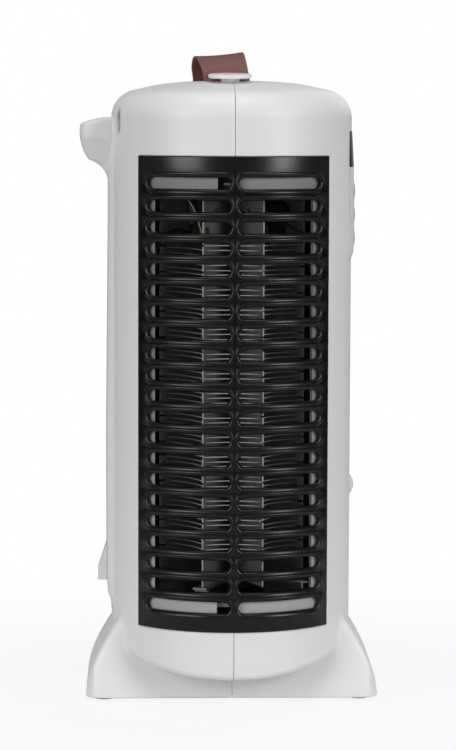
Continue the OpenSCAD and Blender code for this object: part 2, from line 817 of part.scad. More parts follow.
// Eight-sided helix: straight runs between the vanes, one corner in each notch
function oct_r(a) = wire_path_r * cos(22.5) / cos((a % 45) - 22.5);
wire_path = [for (i = [0:turns * rings - rings / 8])
    let (a = 360 * i / rings)
    [oct_r(a) * cos(a + vane_first_a), oct_r(a) * sin(a + vane_first_a), wind_z0 + wind_pitch * i / rings]];
self_gap = min([for (i = [0:len(wire_path) - 1 - rings]) norm(wire_path[i + rings] - wire_path[i])])
    - 2 * wire_r;
echo(least_gap_between_turns = self_gap);

module heating_wire() color([0.75, 0.72, 0.68]) tube(wire_path, wire_r, 6, [0, 0, 1]);

// Places a piece on vane k, out along the vane and up; its y axis is square to the vane
module on_vane(k, out, z) {
    rotate([0, 0, vane_first_a + 45 * k]) translate([out, 0, z]) children();
}
function vane_point(k, out, off, z) = let (a = vane_first_a + 45 * k)
    [out * cos(a) - off * sin(a), out * sin(a) + off * cos(a), z];

// Hollow rivets beside both ends of the winding
module eyelets() color([0.65, 0.45, 0.25])
    for (end = [[0, last_row_z + row_pitch], [7, wind_z1 + 7]], s = [-1, 1])
        on_vane(end[0], vane_r - 4, end[1]) translate([0, s * (vane_t / 2 + 0.02), 0])
            rotate([-s * 90, 0, 0]) difference() {
                cylinder(r = 2, h = 1, $fn = 32);
                translate([0, 0, 0.4]) cylinder(r = 1, h = 1, $fn = 32);
            }

// Bimetal cut-out clipped to the front of a vane's upper end, with two tags
cutout_out = 28;
cutout_z = vane_z1 - 12;
tag_y = -vane_t / 2 - 9.5;
module thermal_cutout() color([0.2, 0.2, 0.2]) on_vane(1, cutout_out, cutout_z) {
    translate([0, -vane_t / 2 - 0.1, 0]) rotate([90, 0, 0]) cylinder(r = 7.5, h = 6);
    translate([-5, -vane_t / 2 - 1.1, -11]) cube([10, 1, 8]);
    for (s = [-1, 1]) translate([s * 4.5 - 1.5, tag_y, -3]) cube([3, 4, 0.8]);
}

// Fuse clipped to the front of the outer left vane
fuse_out = 26;
fuse_z = vane_z1 - 18;
fuse_off = vane_t / 2 + 2.1;
module thermal_fuse() color([0.75, 0.75, 0.72]) on_vane(6, fuse_out, fuse_z)
    translate([0, fuse_off, 0]) cylinder(r = 2, h = 11, $fn = 32);

// Sleeved leads that climb beside the element, and the winding's bare end
lead_r = 1.1;
module lead_wires() color([0.45, 0.28, 0.2]) {
    tube([[-44, -14, deck_z + slip], [-45, -14, 110], [-45.5, -13, 170], [-45, -14, 235],
        [-43, -18, wind_z1 - 4], [-38, -20, wind_z1 + 4], [-31, -18, wind_z1 + 7],
        vane_point(6, fuse_out, fuse_off, fuse_z - 5),
        vane_point(6, fuse_out, fuse_off, fuse_z - slip)], lead_r, 8, [0, 1, 0.2]);
    tube([[46, -9, deck_z + slip], [46, -10, 120], [46, -10, 200], [46, -15, wind_z1 - 2],
        [38.5, -23.5, wind_z1 + 6], vane_point(1, cutout_out + 6, -14, cutout_z - 4),
        vane_point(1, cutout_out + 4.5, -14, cutout_z - 2.6),
        vane_point(1, cutout_out + 4.5, tag_y - slip, cutout_z - 2.6)], lead_r, 8, [0, 0.2, 1]);
    tube([vane_point(7, vane_r - 2, -1.8, wind_z1 + 3), vane_point(7, vane_r - 6, -5, wind_z1 + 12),
        vane_point(7, vane_r - 13, -9.5, vane_z1 - 4)], 0.4, 6, [1, 0, 0]);
}

// Four-armed foot that stands on the fan deck and carries the vanes
module lower_spider() color("silver") {
    for (i = [0:3]) rotate([0, 0, vane_first_a + 45 + 90 * i]) {
        translate([0, -4, vane_z0 - 1.2]) cube([shield_r - 1.5, 8, 1.2]);
        translate([shield_r - 5.5, -4, deck_z]) cube([1.2, 8, vane_z0 - deck_z - 0.6]);
        translate([shield_r - 5.5, -4, deck_z]) cube([4, 8, 1.2]);
    }
}

// Strip across the top of the element, resting on the shell seats
module top_bracket() color("silver") {
    z = window_z1 + 5.2;
    half = flange_in - hook_t - fit;
    translate([-6, -half, z]) cube([12, 2 * half, 1.2]);
    translate([0, 0, window_z1 + 0.3]) cylinder(r = 9, h = z - window_z1 - 0.3);
}

// Bright metal liner behind the element
module heat_shield() color("silver")
    ring_sector(shield_r, shield_r + shield_t, deck_z + 0.1, window_z1 + 1, 90, 116);

// Deck with the fan's round shroud under it
module fan_deck() color("gainsboro") {
    difference() {
        translate([0, 0, deck_z - deck_t]) cylinder(r = deck_r, h = deck_t, $fn = fine);
        cylinder(r = shroud_r, h = far, $fn = fine);
        // notch round the grille's lower hook
        translate([-hook_slot, -deck_r - 1, deck_z - deck_t - 1]) cube([hook_slot, hook_t + 2, deck_t + 2]);
    }
    rotate_extrude($fn = fine) translate([shroud_r, shroud_z0])
        square([shroud_t, deck_z - deck_t - shroud_z0 + 0.5]);
}

// Axial impeller: a hub pushed on the shaft and pitched blades
module fan_impeller() color([0.15, 0.15, 0.15]) difference() {
    union() {
        translate([0, 0, fan_z0]) cylinder(r = 12, h = fan_h);
        intersection() {
            translate([0, 0, fan_z0 - 1]) cylinder(r = fan_r, h = fan_h + 2, $fn = fine);
            for (i = [0:blades - 1]) rotate([0, 0, 360 * i / blades])
                translate([10, 0, fan_z0 + fan_h / 2]) rotate([32, 0, 0])
                    translate([0, -11, -0.7]) cube([fan_r, 22, 1.4]);
        }
    }
    translate([0, 0, fan_z0 - 2]) cylinder(r = shaft_r + 0.01, h = fan_h + 1);
}

module motor_shaft() color("silver")
    translate([0, 0, motor_top - 10]) cylinder(r = shaft_r, h = fan_z0 + fan_h - 2 - motor_top + 10);

module fan_motor() color("silver") difference() {
    translate([0, 0, motor_top - motor_h]) cylinder(r = motor_r, h = motor_h);
    translate([0, 0, motor_top - 10.2]) cylinder(r = shaft_r + run, h = 20);
}

// Ring and three arms that hang the motor from the shroud
module motor_bracket() color("silver") {
    z = shroud_z0 - 1.6;
    difference() {
        translate([0, 0, z]) cylinder(r = motor_r + 3, h = 1.6);
        translate([0, 0, z - 1]) cylinder(r = motor_r + 0.1, h = 4);
    }
    for (i = [0:2]) rotate([0, 0, 30 + 120 * i]) translate([motor_r + 2, -4, z])
        cube([shroud_r + shroud_t - motor_r - 2, 8, 1.6]);
}

// Plate that closes the base, with counterbored screw holes
module base_plate() color([0.75, 0.75, 0.75]) {
    half_d = base_half_d - wall - plate_t * tan(base_lean) - 0.5;
    corner = 9;
    difference() {
        translate([0, 0, plate_z]) linear_extrude(plate_t) {
            square([2 * plate_half_w, 2 * (half_d - corner)], center = true);
            square([2 * (plate_half_w - corner), 2 * half_d], center = true);
            for (x = [-1, 1], y = [-1, 1])
                translate([x * (plate_half_w - corner), y * (half_d - corner)]) circle(corner);
        }
        for (x = [-1, 1], y = [-1, 1]) translate([x * base_screw_x, y * base_screw_y, 0]) {
            cylinder(r = screw_r + fit, h = 20);
            cylinder(r = head_r + slip, h = plate_z + 1);
        }
    }
}

module foot_pads() color([0.85, 0.85, 0.85]) for (x = [-1, 1], y = [-1, 1])
    translate([x * pad_x, y * pad_y, 0]) {
        cylinder(r1 = pad_r - 0.6, r2 = pad_r, h = 0.6);
        translate([0, 0, 0.6]) cylinder(r = pad_r, h = plate_z - 0.6);
    }

module terminal_block() color([0.9, 0.88, 0.8]) translate([-14, 8, plate_top]) difference() {
    cube([28, 12, 9]);
    for (i = [0:3]) translate([3.5 + 7 * i, 6, 3]) cylinder(r = 1.8, h = 8, $fn = 32);
}

module tip_switch() color([0.2, 0.2, 0.2]) translate([24, -20, plate_top]) {
    cube([14, 14, 10]);
    translate([7, 7, 9.5]) cylinder(r = 4, h = 4);
}

module shell_screws() color("silver") for (z = boss_zs) {
    x_rod(head_r, -boss_right, -boss_right + head_t - 0.2, boss_y, z);
    x_rod(screw_r - 0.15, -boss_right + 1, boss_right - 5, boss_y, z);
}

module base_screws() color("silver") for (x = [-1, 1], y = [-1, 1])
    translate([x * base_screw_x, y * base_screw_y, 0]) {
        translate([0, 0, plate_z - 0.9]) cylinder(r = head_r, h = 1.8);
        translate([0, 0, plate_z]) cylinder(r = screw_r - 0.15, h = 14);
    }

left_shell();
right_shell();
outlet_grille();
intake_grille();
spine_cover();
cord_hood();
carry_strap();
front_stud();
rear_stud();
control_fascia();
display_lens();
display_module();
control_board();
tact_switches();
timer_key();
high_key();
low_key();
power_button();
power_switch();
mica_vanes();
heating_wire();
eyelets();
thermal_cutout();
thermal_fuse();
lead_wires();
lower_spider();
top_bracket();
heat_shield();
fan_deck();
fan_impeller();
motor_shaft();
fan_motor();
motor_bracket();
base_plate();
foot_pads();
terminal_block();
tip_switch();
shell_screws();
base_screws();
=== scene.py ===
# Looks of the fan heater: camera and stage first, then each piece in the order in
# which the real heater is put together. Metres, +Z up, -Y is the grille side.
import math

import bmesh
import bpy
import numpy as np
from mathutils import Matrix, Vector


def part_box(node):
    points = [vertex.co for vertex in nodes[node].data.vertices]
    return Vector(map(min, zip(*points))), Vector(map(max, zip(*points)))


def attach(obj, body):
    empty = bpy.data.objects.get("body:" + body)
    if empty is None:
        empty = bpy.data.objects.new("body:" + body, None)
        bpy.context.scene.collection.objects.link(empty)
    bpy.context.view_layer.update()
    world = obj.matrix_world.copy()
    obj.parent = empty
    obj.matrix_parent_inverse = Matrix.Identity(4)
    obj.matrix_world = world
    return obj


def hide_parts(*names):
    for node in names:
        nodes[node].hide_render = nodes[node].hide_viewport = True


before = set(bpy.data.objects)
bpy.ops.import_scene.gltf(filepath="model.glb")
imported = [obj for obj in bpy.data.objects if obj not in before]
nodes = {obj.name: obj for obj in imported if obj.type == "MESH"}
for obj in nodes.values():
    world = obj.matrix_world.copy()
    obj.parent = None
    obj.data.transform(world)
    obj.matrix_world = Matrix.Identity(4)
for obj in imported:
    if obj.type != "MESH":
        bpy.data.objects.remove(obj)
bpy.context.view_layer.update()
mm = 0.001

# Camera: at the grille's side, level with the strap's foot and a little to the left.
# The place comes from the grille's four corners and the curve of its two edges.
photo_width, focal_px = 456, 2817
cam_data = bpy.data.cameras.new("camera")
cam_data.sensor_fit = "HORIZONTAL"
cam_data.sensor_width = 36.0
cam_data.lens = focal_px * cam_data.sensor_width / photo_width
cam_data.clip_start, cam_data.clip_end = 0.1, 30.0
camera = bpy.data.objects.new("camera", cam_data)
bpy.context.scene.collection.objects.link(camera)
look = Vector((0.03055, 0.9949, -0.09584)).normalized()
cam_right = look.cross(Vector((0.00007, 0.09588, 0.99536))).normalized()
turn = Matrix((cam_right, cam_right.cross(look), -look)).transposed()
camera.matrix_world = Matrix.Translation((-0.0507, -1.5992, 0.335)) @ turn.to_4x4()
bpy.context.scene.camera = camera
bpy.context.scene.view_settings.view_transform = "Standard"


# Stage: a pale floor and a wide soft box of light, as for a catalogue picture. The
# world is white to the camera. The floor fades to that white away from the object, and
# keeps the shadow near it.
def linear(code):
    """Linear RGBA of an sRGB hex colour."""
    part = np.array([int(code[i:i + 2], 16) / 255 for i in (1, 3, 5)])
    flat = np.where(part <= 0.04045, part / 12.92, ((part + 0.055) / 1.055) ** 2.4)
    return (*[float(v) for v in flat], 1.0)


def add_node(tree, kind, links=(), **settings):
    """Adds one node: settings are its properties, or its inputs by name or number,
    and links are (input, output socket) pairs."""
    made = tree.nodes.new(kind)
    for key, value in settings.items():
        name = key.replace("_", " ")
        if hasattr(made, key):
            setattr(made, key, value)
        elif key[0] == "i" and key[1:].isdigit():
            made.inputs[int(key[1:])].default_value = value
        else:
            made.inputs[name].default_value = value
    for target, source in links:
        tree.links.new(source, made.inputs[target])
    return made


world = bpy.data.worlds.new("soft_room")
bpy.context.scene.world = world
world.use_nodes = True
tree = world.node_tree
tree.nodes.clear()
path = add_node(tree, "ShaderNodeLightPath")
seen = add_node(tree, "ShaderNodeMath", [(0, path.outputs["Is Camera Ray"]),
                                         (1, path.outputs["Is Transmission Ray"])], operation="MAXIMUM")
white = add_node(tree, "ShaderNodeBackground", Color=(1, 1, 1, 1), Strength=1.0)
room = add_node(tree, "ShaderNodeBackground", Color=(1, 1, 1, 1), Strength=0.2)
both = add_node(tree, "ShaderNodeMixShader",
                [(0, seen.outputs[0]), (1, room.outputs[0]), (2, white.outputs[0])])
add_node(tree, "ShaderNodeOutputWorld", [(0, both.outputs[0])])


def new_mesh(name, points, faces, material, smooth=True):
    """Object from an array of points and arrays of faces, at the origin."""
    mesh = bpy.data.meshes.new(name)
    mesh.from_pydata(np.asarray(points, float).reshape(-1, 3).tolist(), [], np.asarray(faces).tolist())
    mesh.update()
    if smooth:
        mesh.polygons.foreach_set("use_smooth", np.ones(len(mesh.polygons), bool))
    made = bpy.data.objects.new(name, mesh)
    bpy.context.scene.collection.objects.link(made)
    mesh.materials.append(material)
    return made


# A matt pale paper sheet on a dark floor: the eye sees it run out into white
floor_finish = bpy.data.materials.new("paper_sheet_on_dark_floor")
floor_finish.use_nodes = True
tree = floor_finish.node_tree
tree.nodes.clear()
path = add_node(tree, "ShaderNodeLightPath")
place = add_node(tree, "ShaderNodeTexCoord")
away = add_node(tree, "ShaderNodeVectorMath", [(0, place.outputs["Object"])], operation="LENGTH")
fade = add_node(tree, "ShaderNodeMapRange", [("Value", away.outputs["Value"])],
                i1=0.12, i2=0.4, i3=0.89, i4=1.0)
sheet = add_node(tree, "ShaderNodeMapRange", [("Value", away.outputs["Value"])], i1=0.5, i2=0.9)
coat = add_node(tree, "ShaderNodeMix", [("Factor", sheet.outputs[0])], data_type="RGBA",
                i6=linear("#d4d4d4"), i7=linear("#282828"))
paint = add_node(tree, "ShaderNodeBsdfDiffuse", [("Color", coat.outputs[2])])
glow = add_node(tree, "ShaderNodeEmission", Color=(1, 1, 1, 1), Strength=1.0)
share = add_node(tree, "ShaderNodeMath", [(0, path.outputs["Is Camera Ray"]), (1, fade.outputs[0])],
                 operation="MULTIPLY")
both = add_node(tree, "ShaderNodeMixShader",
                [(0, share.outputs[0]), (1, paint.outputs[0]), (2, glow.outputs[0])])
add_node(tree, "ShaderNodeOutputMaterial", [(0, both.outputs[0])])
floor_half, floor_z = 4, -0.2 * mm
corners = [(x * floor_half, y * floor_half, floor_z) for x, y in ((-1, -1), (1, -1), (1, 1), (-1, 1))]
floor = new_mesh("floor", corners, [(0, 1, 2, 3)], floor_finish, smooth=False)


def soft_lamp(name, place, aim, wide, high, power):
    """Area lamp of a width and a height at a place, facing a point."""
    data = bpy.data.lights.new(name, "AREA")
    data.shape, data.size, data.size_y, data.energy = "RECTANGLE", wide, high, power
    lamp = bpy.data.objects.new(name, data)
    bpy.context.scene.collection.objects.link(lamp)
    way = (Vector(aim) - Vector(place)).normalized()
    lamp.matrix_world = Matrix.Translation(place) @ way.to_track_quat("-Z", "Y").to_matrix().to_4x4()


soft_lamp("left_lamp", (-1.46, -1.46, 0.7), (0, 0, 0.25), 1.0, 1.2, 20.5)
soft_lamp("right_lamp", (1.54, -1.38, 0.75), (0, 0, 0.25), 0.7, 1.2, 21.5)
soft_lamp("top_lamp", (0, -0.3, 1.9), (0, 0, 0.3), 1.3, 1.0, 11)
soft_lamp("back_lamp", (0.9, 1.8, 1.1), (0, 0, 0.2), 1.2, 1.2, 6)


def finish(name, base, rough, **more):
    """Principled material with the values that are the same all over it."""
    made = bpy.data.materials.new(name)
    made.use_nodes = True
    shader = made.node_tree.nodes["Principled BSDF"]
    shader.inputs["Base Color"].default_value = linear(base)
    shader.inputs["Roughness"].default_value = rough
    for key, value in more.items():
        shader.inputs[key.replace("_", " ")].default_value = value
    return made


def grained(material, size, depth, tint=None, rough=None, spread=25):
    """Adds a fine uneven surface: bumps of a size and depth in metres, drawn coarser than
    real ones so that they show, and, where given, a second colour and a second
    roughness in patches some spread times larger."""
    tree = material.node_tree
    shader = tree.nodes["Principled BSDF"]
    place = add_node(tree, "ShaderNodeTexCoord")
    grain = add_node(tree, "ShaderNodeTexNoise", [("Vector", place.outputs["Object"])],
                     Scale=1 / size, Detail=3.0)
    bump = add_node(tree, "ShaderNodeBump", [("Height", grain.outputs["Fac"])], Strength=1.0, Distance=depth)
    tree.links.new(bump.outputs[0], shader.inputs["Normal"])
    patch = add_node(tree, "ShaderNodeTexNoise", [("Vector", place.outputs["Object"])],
                     Scale=1 / (size * spread), Detail=2.0)
    if tint:
        first = tuple(shader.inputs["Base Color"].default_value)
        mixed = add_node(tree, "ShaderNodeMix", [("Factor", patch.outputs["Fac"])], data_type="RGBA",
                         i6=first, i7=linear(tint))
        tree.links.new(mixed.outputs[2], shader.inputs["Base Color"])
    if rough:
        first = shader.inputs["Roughness"].default_value
        band = add_node(tree, "ShaderNodeMapRange", [("Value", patch.outputs["Fac"])], i1=0.3, i2=0.7,
                        i3=first, i4=rough)
        tree.links.new(band.outputs[0], shader.inputs["Roughness"])
    return material


def dress(material, *names):
    """Gives carried-over CAD nodes their material."""
    for name in names:
        nodes[name].data.materials.clear()
        nodes[name].data.materials.append(material)


# Base plate: a matt grey moulding on soft pale pads. It carries an ivory nylon terminal
# block and the sealed black tip switch, and all of them are the solids.

# Matt moulded plastic looks even and dull, rubber duller still and a little mottled, and
# moulded nylon has a waxy gleam.
grey_moulding = grained(finish("moulded_matt_grey_plastic", "#b4b4b4", 0.52),
                        0.8 * mm, 0.01 * mm, "#aaaaaa", 0.6)
pad_rubber = grained(finish("soft_moulded_rubber", "#c6c6c4", 0.72), 0.6 * mm, 0.02 * mm, "#b9b9b6", 0.8)
nylon = grained(finish("moulded_ivory_nylon", "#ded8c6", 0.45), 0.7 * mm, 0.006 * mm, "#d4ccb6", 0.52)
black_plastic = grained(finish("moulded_matt_black_plastic", "#1b1b1d", 0.48),
                        0.6 * mm, 0.008 * mm, "#242426", 0.58)
dress(grey_moulding, "base_plate")
dress(pad_rubber, "foot_pads")
dress(nylon, "terminal_block")
dress(black_plastic, "tip_switch")


# Half shells: two white ABS mouldings, screwed together on a seam down the middle, with
# a domed top, an arched underside and a flared base. The outer skin is worked out as one
# surface, and the ribs and flange inside come from the solid.

# ABS is chalky where the tool isn't polished. The flange behind the grille gets painted
# shade: grey, and darker towards the top.
inner_abs = grained(finish("unpolished_abs_inner_face_painted_shade", "#dcdcdb", 0.6), 1.2 * mm, 0.01 * mm)
tree = inner_abs.node_tree
place = add_node(tree, "ShaderNodeTexCoord")
part = add_node(tree, "ShaderNodeSeparateXYZ", [(0, place.outputs["Object"])])
high = add_node(tree, "ShaderNodeMapRange", [("Value", part.outputs["Z"])], i1=80 * mm, i2=200 * mm)
# painted shade on the flange: paler grey low down, darker grey high up
painted_shade_by_height = add_node(tree, "ShaderNodeMix", [("Factor", high.outputs[0])], data_type="RGBA",
                 i6=linear("#a8a8a7"), i7=linear("#828281"))
# the painted shade lies on the flange at the front and fades to white deeper inside
deep = add_node(tree, "ShaderNodeMapRange", [("Value", part.outputs["Y"])], i1=-42 * mm, i2=-32 * mm)
shade = add_node(tree, "ShaderNodeMix", [("Factor", deep.outputs[0]), (6, painted_shade_by_height.outputs[2])],
                 data_type="RGBA", i7=linear("#dcdcdb"))
tree.links.new(shade.outputs[2], tree.nodes["Principled BSDF"].inputs["Base Color"])

# Zinc-plated pressed steel is a dull mirror in patches, and moulded white ABS has a soft
# satin gleam.
zinc_steel = grained(finish("zinc_plated_pressed_steel", "#a9aaac", 0.34, Metallic=1.0),
                     0.5 * mm, 0.004 * mm, "#8e8f92", 0.5)
white_abs = grained(finish("moulded_white_abs", "#e4e4e4", 0.4), 0.9 * mm, 0.004 * mm, "#e1e1e1", 0.46)
shell_wall, seam_gap = 2.4 * mm, 0.15 * mm
shell_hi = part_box("left_shell")[1]
grille_lo, grille_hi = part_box("outlet_grille")
intake_lo, intake_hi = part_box("intake_grille")
body_r = shell_hi.y
panel_r = body_r + 0.6 * mm
shoulder_z, shoulder_r = grille_hi.z + 20.5 * mm, 17 * mm
brow_r, brow_a, crown_r = 100 * mm, math.radians(15), 426 * mm
brow_dip, brow_x, brow_half = 0.8 * mm, 52 * mm, 13 * mm
crown_tilt = math.asin((body_r - shoulder_r - (brow_r - shoulder_r) * math.sin(brow_a)) / (crown_r - brow_r))
rim_z, rim_rise, rim_round = 17 * mm, 15.2 * mm, 4 * mm
base_half_w, base_half_d, skirt_z = 82.5 * mm, 39 * mm, 2 * mm
flank_r, flank_drop, base_lean = 79 * mm, 2.6 * mm, math.radians(11)
flank_in, flank_bow, flank_y, flank_z, flank_high = 0.9 * mm, 2.6 * mm, 37 * mm, 12 * mm, 26 * mm
base_edge, fillet_run = 3 * mm, 12 * mm
corner_r, corner_out, corner_lean = 10 * mm, 1.2 * mm, math.radians(12)
recess_a = math.asin(grille_hi.x / panel_r) + math.radians(0.2)
recess_z0, recess_z1 = grille_lo.z - 0.2 * mm, grille_hi.z + 0.2 * mm
pivot_z = 34 * mm


def round_max(a, b, r):
    """The larger of two distances, with an edge of radius r where they meet."""
    return np.minimum(np.maximum(a, b), -r) + np.hypot(np.maximum(a + r, 0), np.maximum(b + r, 0))


def round_min(a, b, r):
    """The smaller of two distances, with a fillet of radius r where they meet."""
    return np.maximum(np.minimum(a, b), r) - np.hypot(np.maximum(r - a, 0), np.maximum(r - b, 0))


def outside(x, y, z):
    """Distance outside the heater below its shoulder: a cylinder cut by the arch of its
    underside, z = rim + rise (|x| / R)^2.5, joined to a base of flank arcs that are drawn
    in by in + bow (y / Y)^2, leaning faces and leaning round corners. The fillet between
    them runs out at the sides."""
    bow = np.abs(x) / body_r
    arch = (rim_z + rim_rise * bow ** 2.5 - z) / np.hypot(1, 2.5 * rim_rise / body_r * bow ** 1.5)
    body = round_max(np.hypot(x, y) - body_r, arch, rim_round)
    drawn_in = (flank_in + flank_bow * (y / flank_y) ** 2) * np.clip((z - flank_z) / flank_high, 0, 1)
    flank = np.hypot(np.abs(x) + drawn_in - base_half_w + flank_r, z + flank_drop) - flank_r
    face = (np.abs(y) - base_half_d + (z - skirt_z) * math.tan(base_lean)) * math.cos(base_lean)
    end = (np.abs(x) - base_half_w - corner_out) * math.cos(corner_lean) + z * math.sin(corner_lean)
    base = np.maximum(round_max(flank, face, base_edge), round_max(end, np.abs(y) - base_half_d, corner_r))
    return round_min(body, base, base_edge * np.clip((body_r - np.abs(x)) / fillet_run, 0.1, 1))


def reach(way_x, way_y, way_z, z):
    """Distance from the axis at height z to the surface along a direction, by halving."""
    near, far = np.full(np.shape(way_x), 5 * mm), np.full(np.shape(way_x), 130 * mm)
    for _ in range(30):
        mid = (near + far) / 2
        out = outside(mid * way_x, mid * way_y, z + mid * way_z) > 0
        near, far = np.where(out, near, mid), np.where(out, mid, far)
    return (near + far) / 2


def dome(tilt):
    """Radius and height on the domed top where its surface leans tilt from level: a
    shoulder arc, a brow arc and a shallow crown arc, each tangent to the next. The brow
    is drawn down by dip exp(-((r - x) / half)^2)."""
    shoulder_x = body_r - shoulder_r
    arc_x = shoulder_x - (brow_r - shoulder_r) * math.sin(brow_a)
    arc_z = shoulder_z - (brow_r - shoulder_r) * math.cos(brow_a)
    crown_z = arc_z - (crown_r - brow_r) * math.cos(crown_tilt)
    on_shoulder, on_brow = tilt > brow_a, tilt > crown_tilt
    x = np.where(on_shoulder, shoulder_x, np.where(on_brow, arc_x, 0))
    z = np.where(on_shoulder, shoulder_z, np.where(on_brow, arc_z, crown_z))
    r = np.where(on_shoulder, shoulder_r, np.where(on_brow, brow_r, crown_r))
    out, up = x + r * np.sin(tilt), z + r * np.cos(tilt)
    return out, up - brow_dip * np.exp(-((out - brow_x) / brow_half) ** 2)


def grid_faces(rows, cols, wrap=False):
    """Quads of a grid of rows by cols points; wrap joins the last column to the first."""
    i, j = np.meshgrid(np.arange(rows - 1), np.arange(cols if wrap else cols - 1), indexing="ij")
    k = (j + 1) % cols
    return np.stack([i * cols + j, i * cols + k, (i + 1) * cols + k, (i + 1) * cols + j], -1).reshape(-1, 4)


# Points closer than the first are one, and a length under the second is nothing
weld_gap, hair = 0.002 * mm, 0.0001 * mm


def weld(made, outward=True):
    """Merges points that all but touch and, unless told not to, turns the faces outwards."""
    shape = bmesh.new()
    shape.from_mesh(made.data)
    bmesh.ops.remove_doubles(shape, verts=shape.verts, dist=weld_gap)
    bmesh.ops.dissolve_degenerate(shape, dist=hair, edges=shape.edges)
    if outward:
        bmesh.ops.recalc_face_normals(shape, faces=shape.faces)
    shape.to_mesh(made.data)
    shape.free()


# Turns round the body from the front seam, closer together at the seams
near_seam = np.radians([0, 0.08, 0.2, 0.4, 0.8])
dimple_a, dimple_z, dimple_w, dimple_h = math.radians(69.8), 324 * mm, 3.2 * mm, 6.6 * mm
dimple_side = 0.08
turns_round = np.concatenate([near_seam, np.linspace(near_seam[-1], recess_a, 48)[1:],
                              np.linspace(recess_a, dimple_a - dimple_side, 12)[1:],
                              np.linspace(dimple_a - dimple_side, dimple_a + dimple_side, 30)[1:],
                              np.linspace(dimple_a + dimple_side, math.pi - near_seam[-1], 92)[1:],
                              math.pi - near_seam[-2::-1]])
out_x, out_y = np.sin(turns_round), -np.cos(turns_round)
cols = len(turns_round)

# The dimple gets painted shade, so its floor looks grey in the white shell
tree = white_abs.node_tree
place = add_node(tree, "ShaderNodeTexCoord")
dimple_r = body_r - 2 * mm
off = add_node(tree, "ShaderNodeVectorMath", [(0, place.outputs["Object"])], operation="SUBTRACT",
               i1=(-dimple_r * math.sin(dimple_a), -dimple_r * math.cos(dimple_a), dimple_z + 1 * mm))
near = add_node(tree, "ShaderNodeVectorMath", [(0, off.outputs[0])], operation="MULTIPLY", i1=(1, 1, 0.45))
away = add_node(tree, "ShaderNodeVectorMath", [(0, near.outputs[0])], operation="LENGTH")
painted_pocket_shade = add_node(tree, "ShaderNodeMapRange", [("Value", away.outputs["Value"])],
                  i1=4.2 * mm, i2=2.6 * mm)
colour = tree.nodes["Principled BSDF"].inputs["Base Color"]
shade = add_node(tree, "ShaderNodeMix", [("Factor", painted_pocket_shade.outputs[0]), (6, colour.links[0].from_socket)],
                 data_type="RGBA", i7=linear("#9a9a99"))
tree.links.new(shade.outputs[2], colour)

# Rows from the crown down: the dome, the wall at set heights, then rays that tilt down
# from the axis, spread along each contour so that its bends get more of them, and last
# the foot, which is turned in under the shell
dome_tilt = np.concatenate([np.linspace(0, crown_tilt, 9), np.linspace(crown_tilt, brow_a, 7)[1:],
                            np.linspace(brow_a, math.pi / 2, 28)[1:]])
dome_r, dome_z = dome(dome_tilt)
dense_z = 62 * mm
wall_z = np.concatenate([np.linspace(shoulder_z, recess_z1, 32)[1:],
                         np.linspace(recess_z1, dense_z, 83)[1:],
                         np.linspace(dense_z, recess_z0, 14)[1:],
                         np.linspace(recess_z0, pivot_z, 9)[1:]])
wall_r = np.stack([reach(out_x, out_y, 0 * out_x, z) for z in wall_z])
foot_z = skirt_z + 0.6 * mm
foot_r = reach(out_x, out_y, 0 * out_x, foot_z)
dip = np.linspace(0, 1, 241)[:, None] * np.arctan2(pivot_z - foot_z, foot_r)
ray = reach(out_x * np.cos(dip), out_y * np.cos(dip), -np.sin(dip), pivot_z)
low_r, low_z = ray * np.cos(dip), pivot_z - ray * np.sin(dip)
step_r, step_z = np.diff(low_r, axis=0), np.diff(low_z, axis=0)
heading = np.unwrap(np.arctan2(step_z, step_r), axis=0)
spacing = np.hypot(step_r, step_z)
bend_share = 5 * mm
spacing[1:] += bend_share * np.abs(np.diff(heading, axis=0))
along = np.vstack([np.zeros(cols), np.cumsum(spacing, axis=0)])
along /= along[-1]
stops = np.linspace(0, 1, 72)[1:]
low_r = np.stack([np.interp(stops, along[:, c], low_r[:, c]) for c in range(cols)], 1)
low_z = np.stack([np.interp(stops, along[:, c], low_z[:, c]) for c in range(cols)], 1)
foot_in, foot_up = np.array([0.18, 0.6, 2.4, 2.4]) * mm, np.array([0.2, 0, 0, 6]) * mm
ring_r = np.vstack([np.repeat(dome_r[:, None], cols, 1), wall_r, low_r, foot_r - foot_in[:, None]])
ring_z = np.vstack([np.repeat(dome_z[:, None], cols, 1), np.repeat(wall_z[:, None], cols, 1), low_z,
                    np.repeat(skirt_z + foot_up[:, None], cols, 1)])
rows = len(ring_r)
seam_rows = rows - 3
groove_deep, groove_half = 0.22 * mm, 0.45 * mm
dimple_deep, dimple_more = 2.4 * mm, 1.8 * mm
hole_border, hole_deep, recess_deep = 1.2 * mm, 1.4 * shell_wall, 2 * mm


def seam_return(column):
    """The rim of the shell along one seam: the contour drawn in by the wall's thickness."""
    r, z = ring_r[:seam_rows, column], ring_z[:seam_rows, column]
    run_r, run_z = np.gradient(r), np.gradient(z)
    size = np.hypot(run_r, run_z) + 1e-12
    return r + run_z / size * shell_wall, z - run_r / size * shell_wall


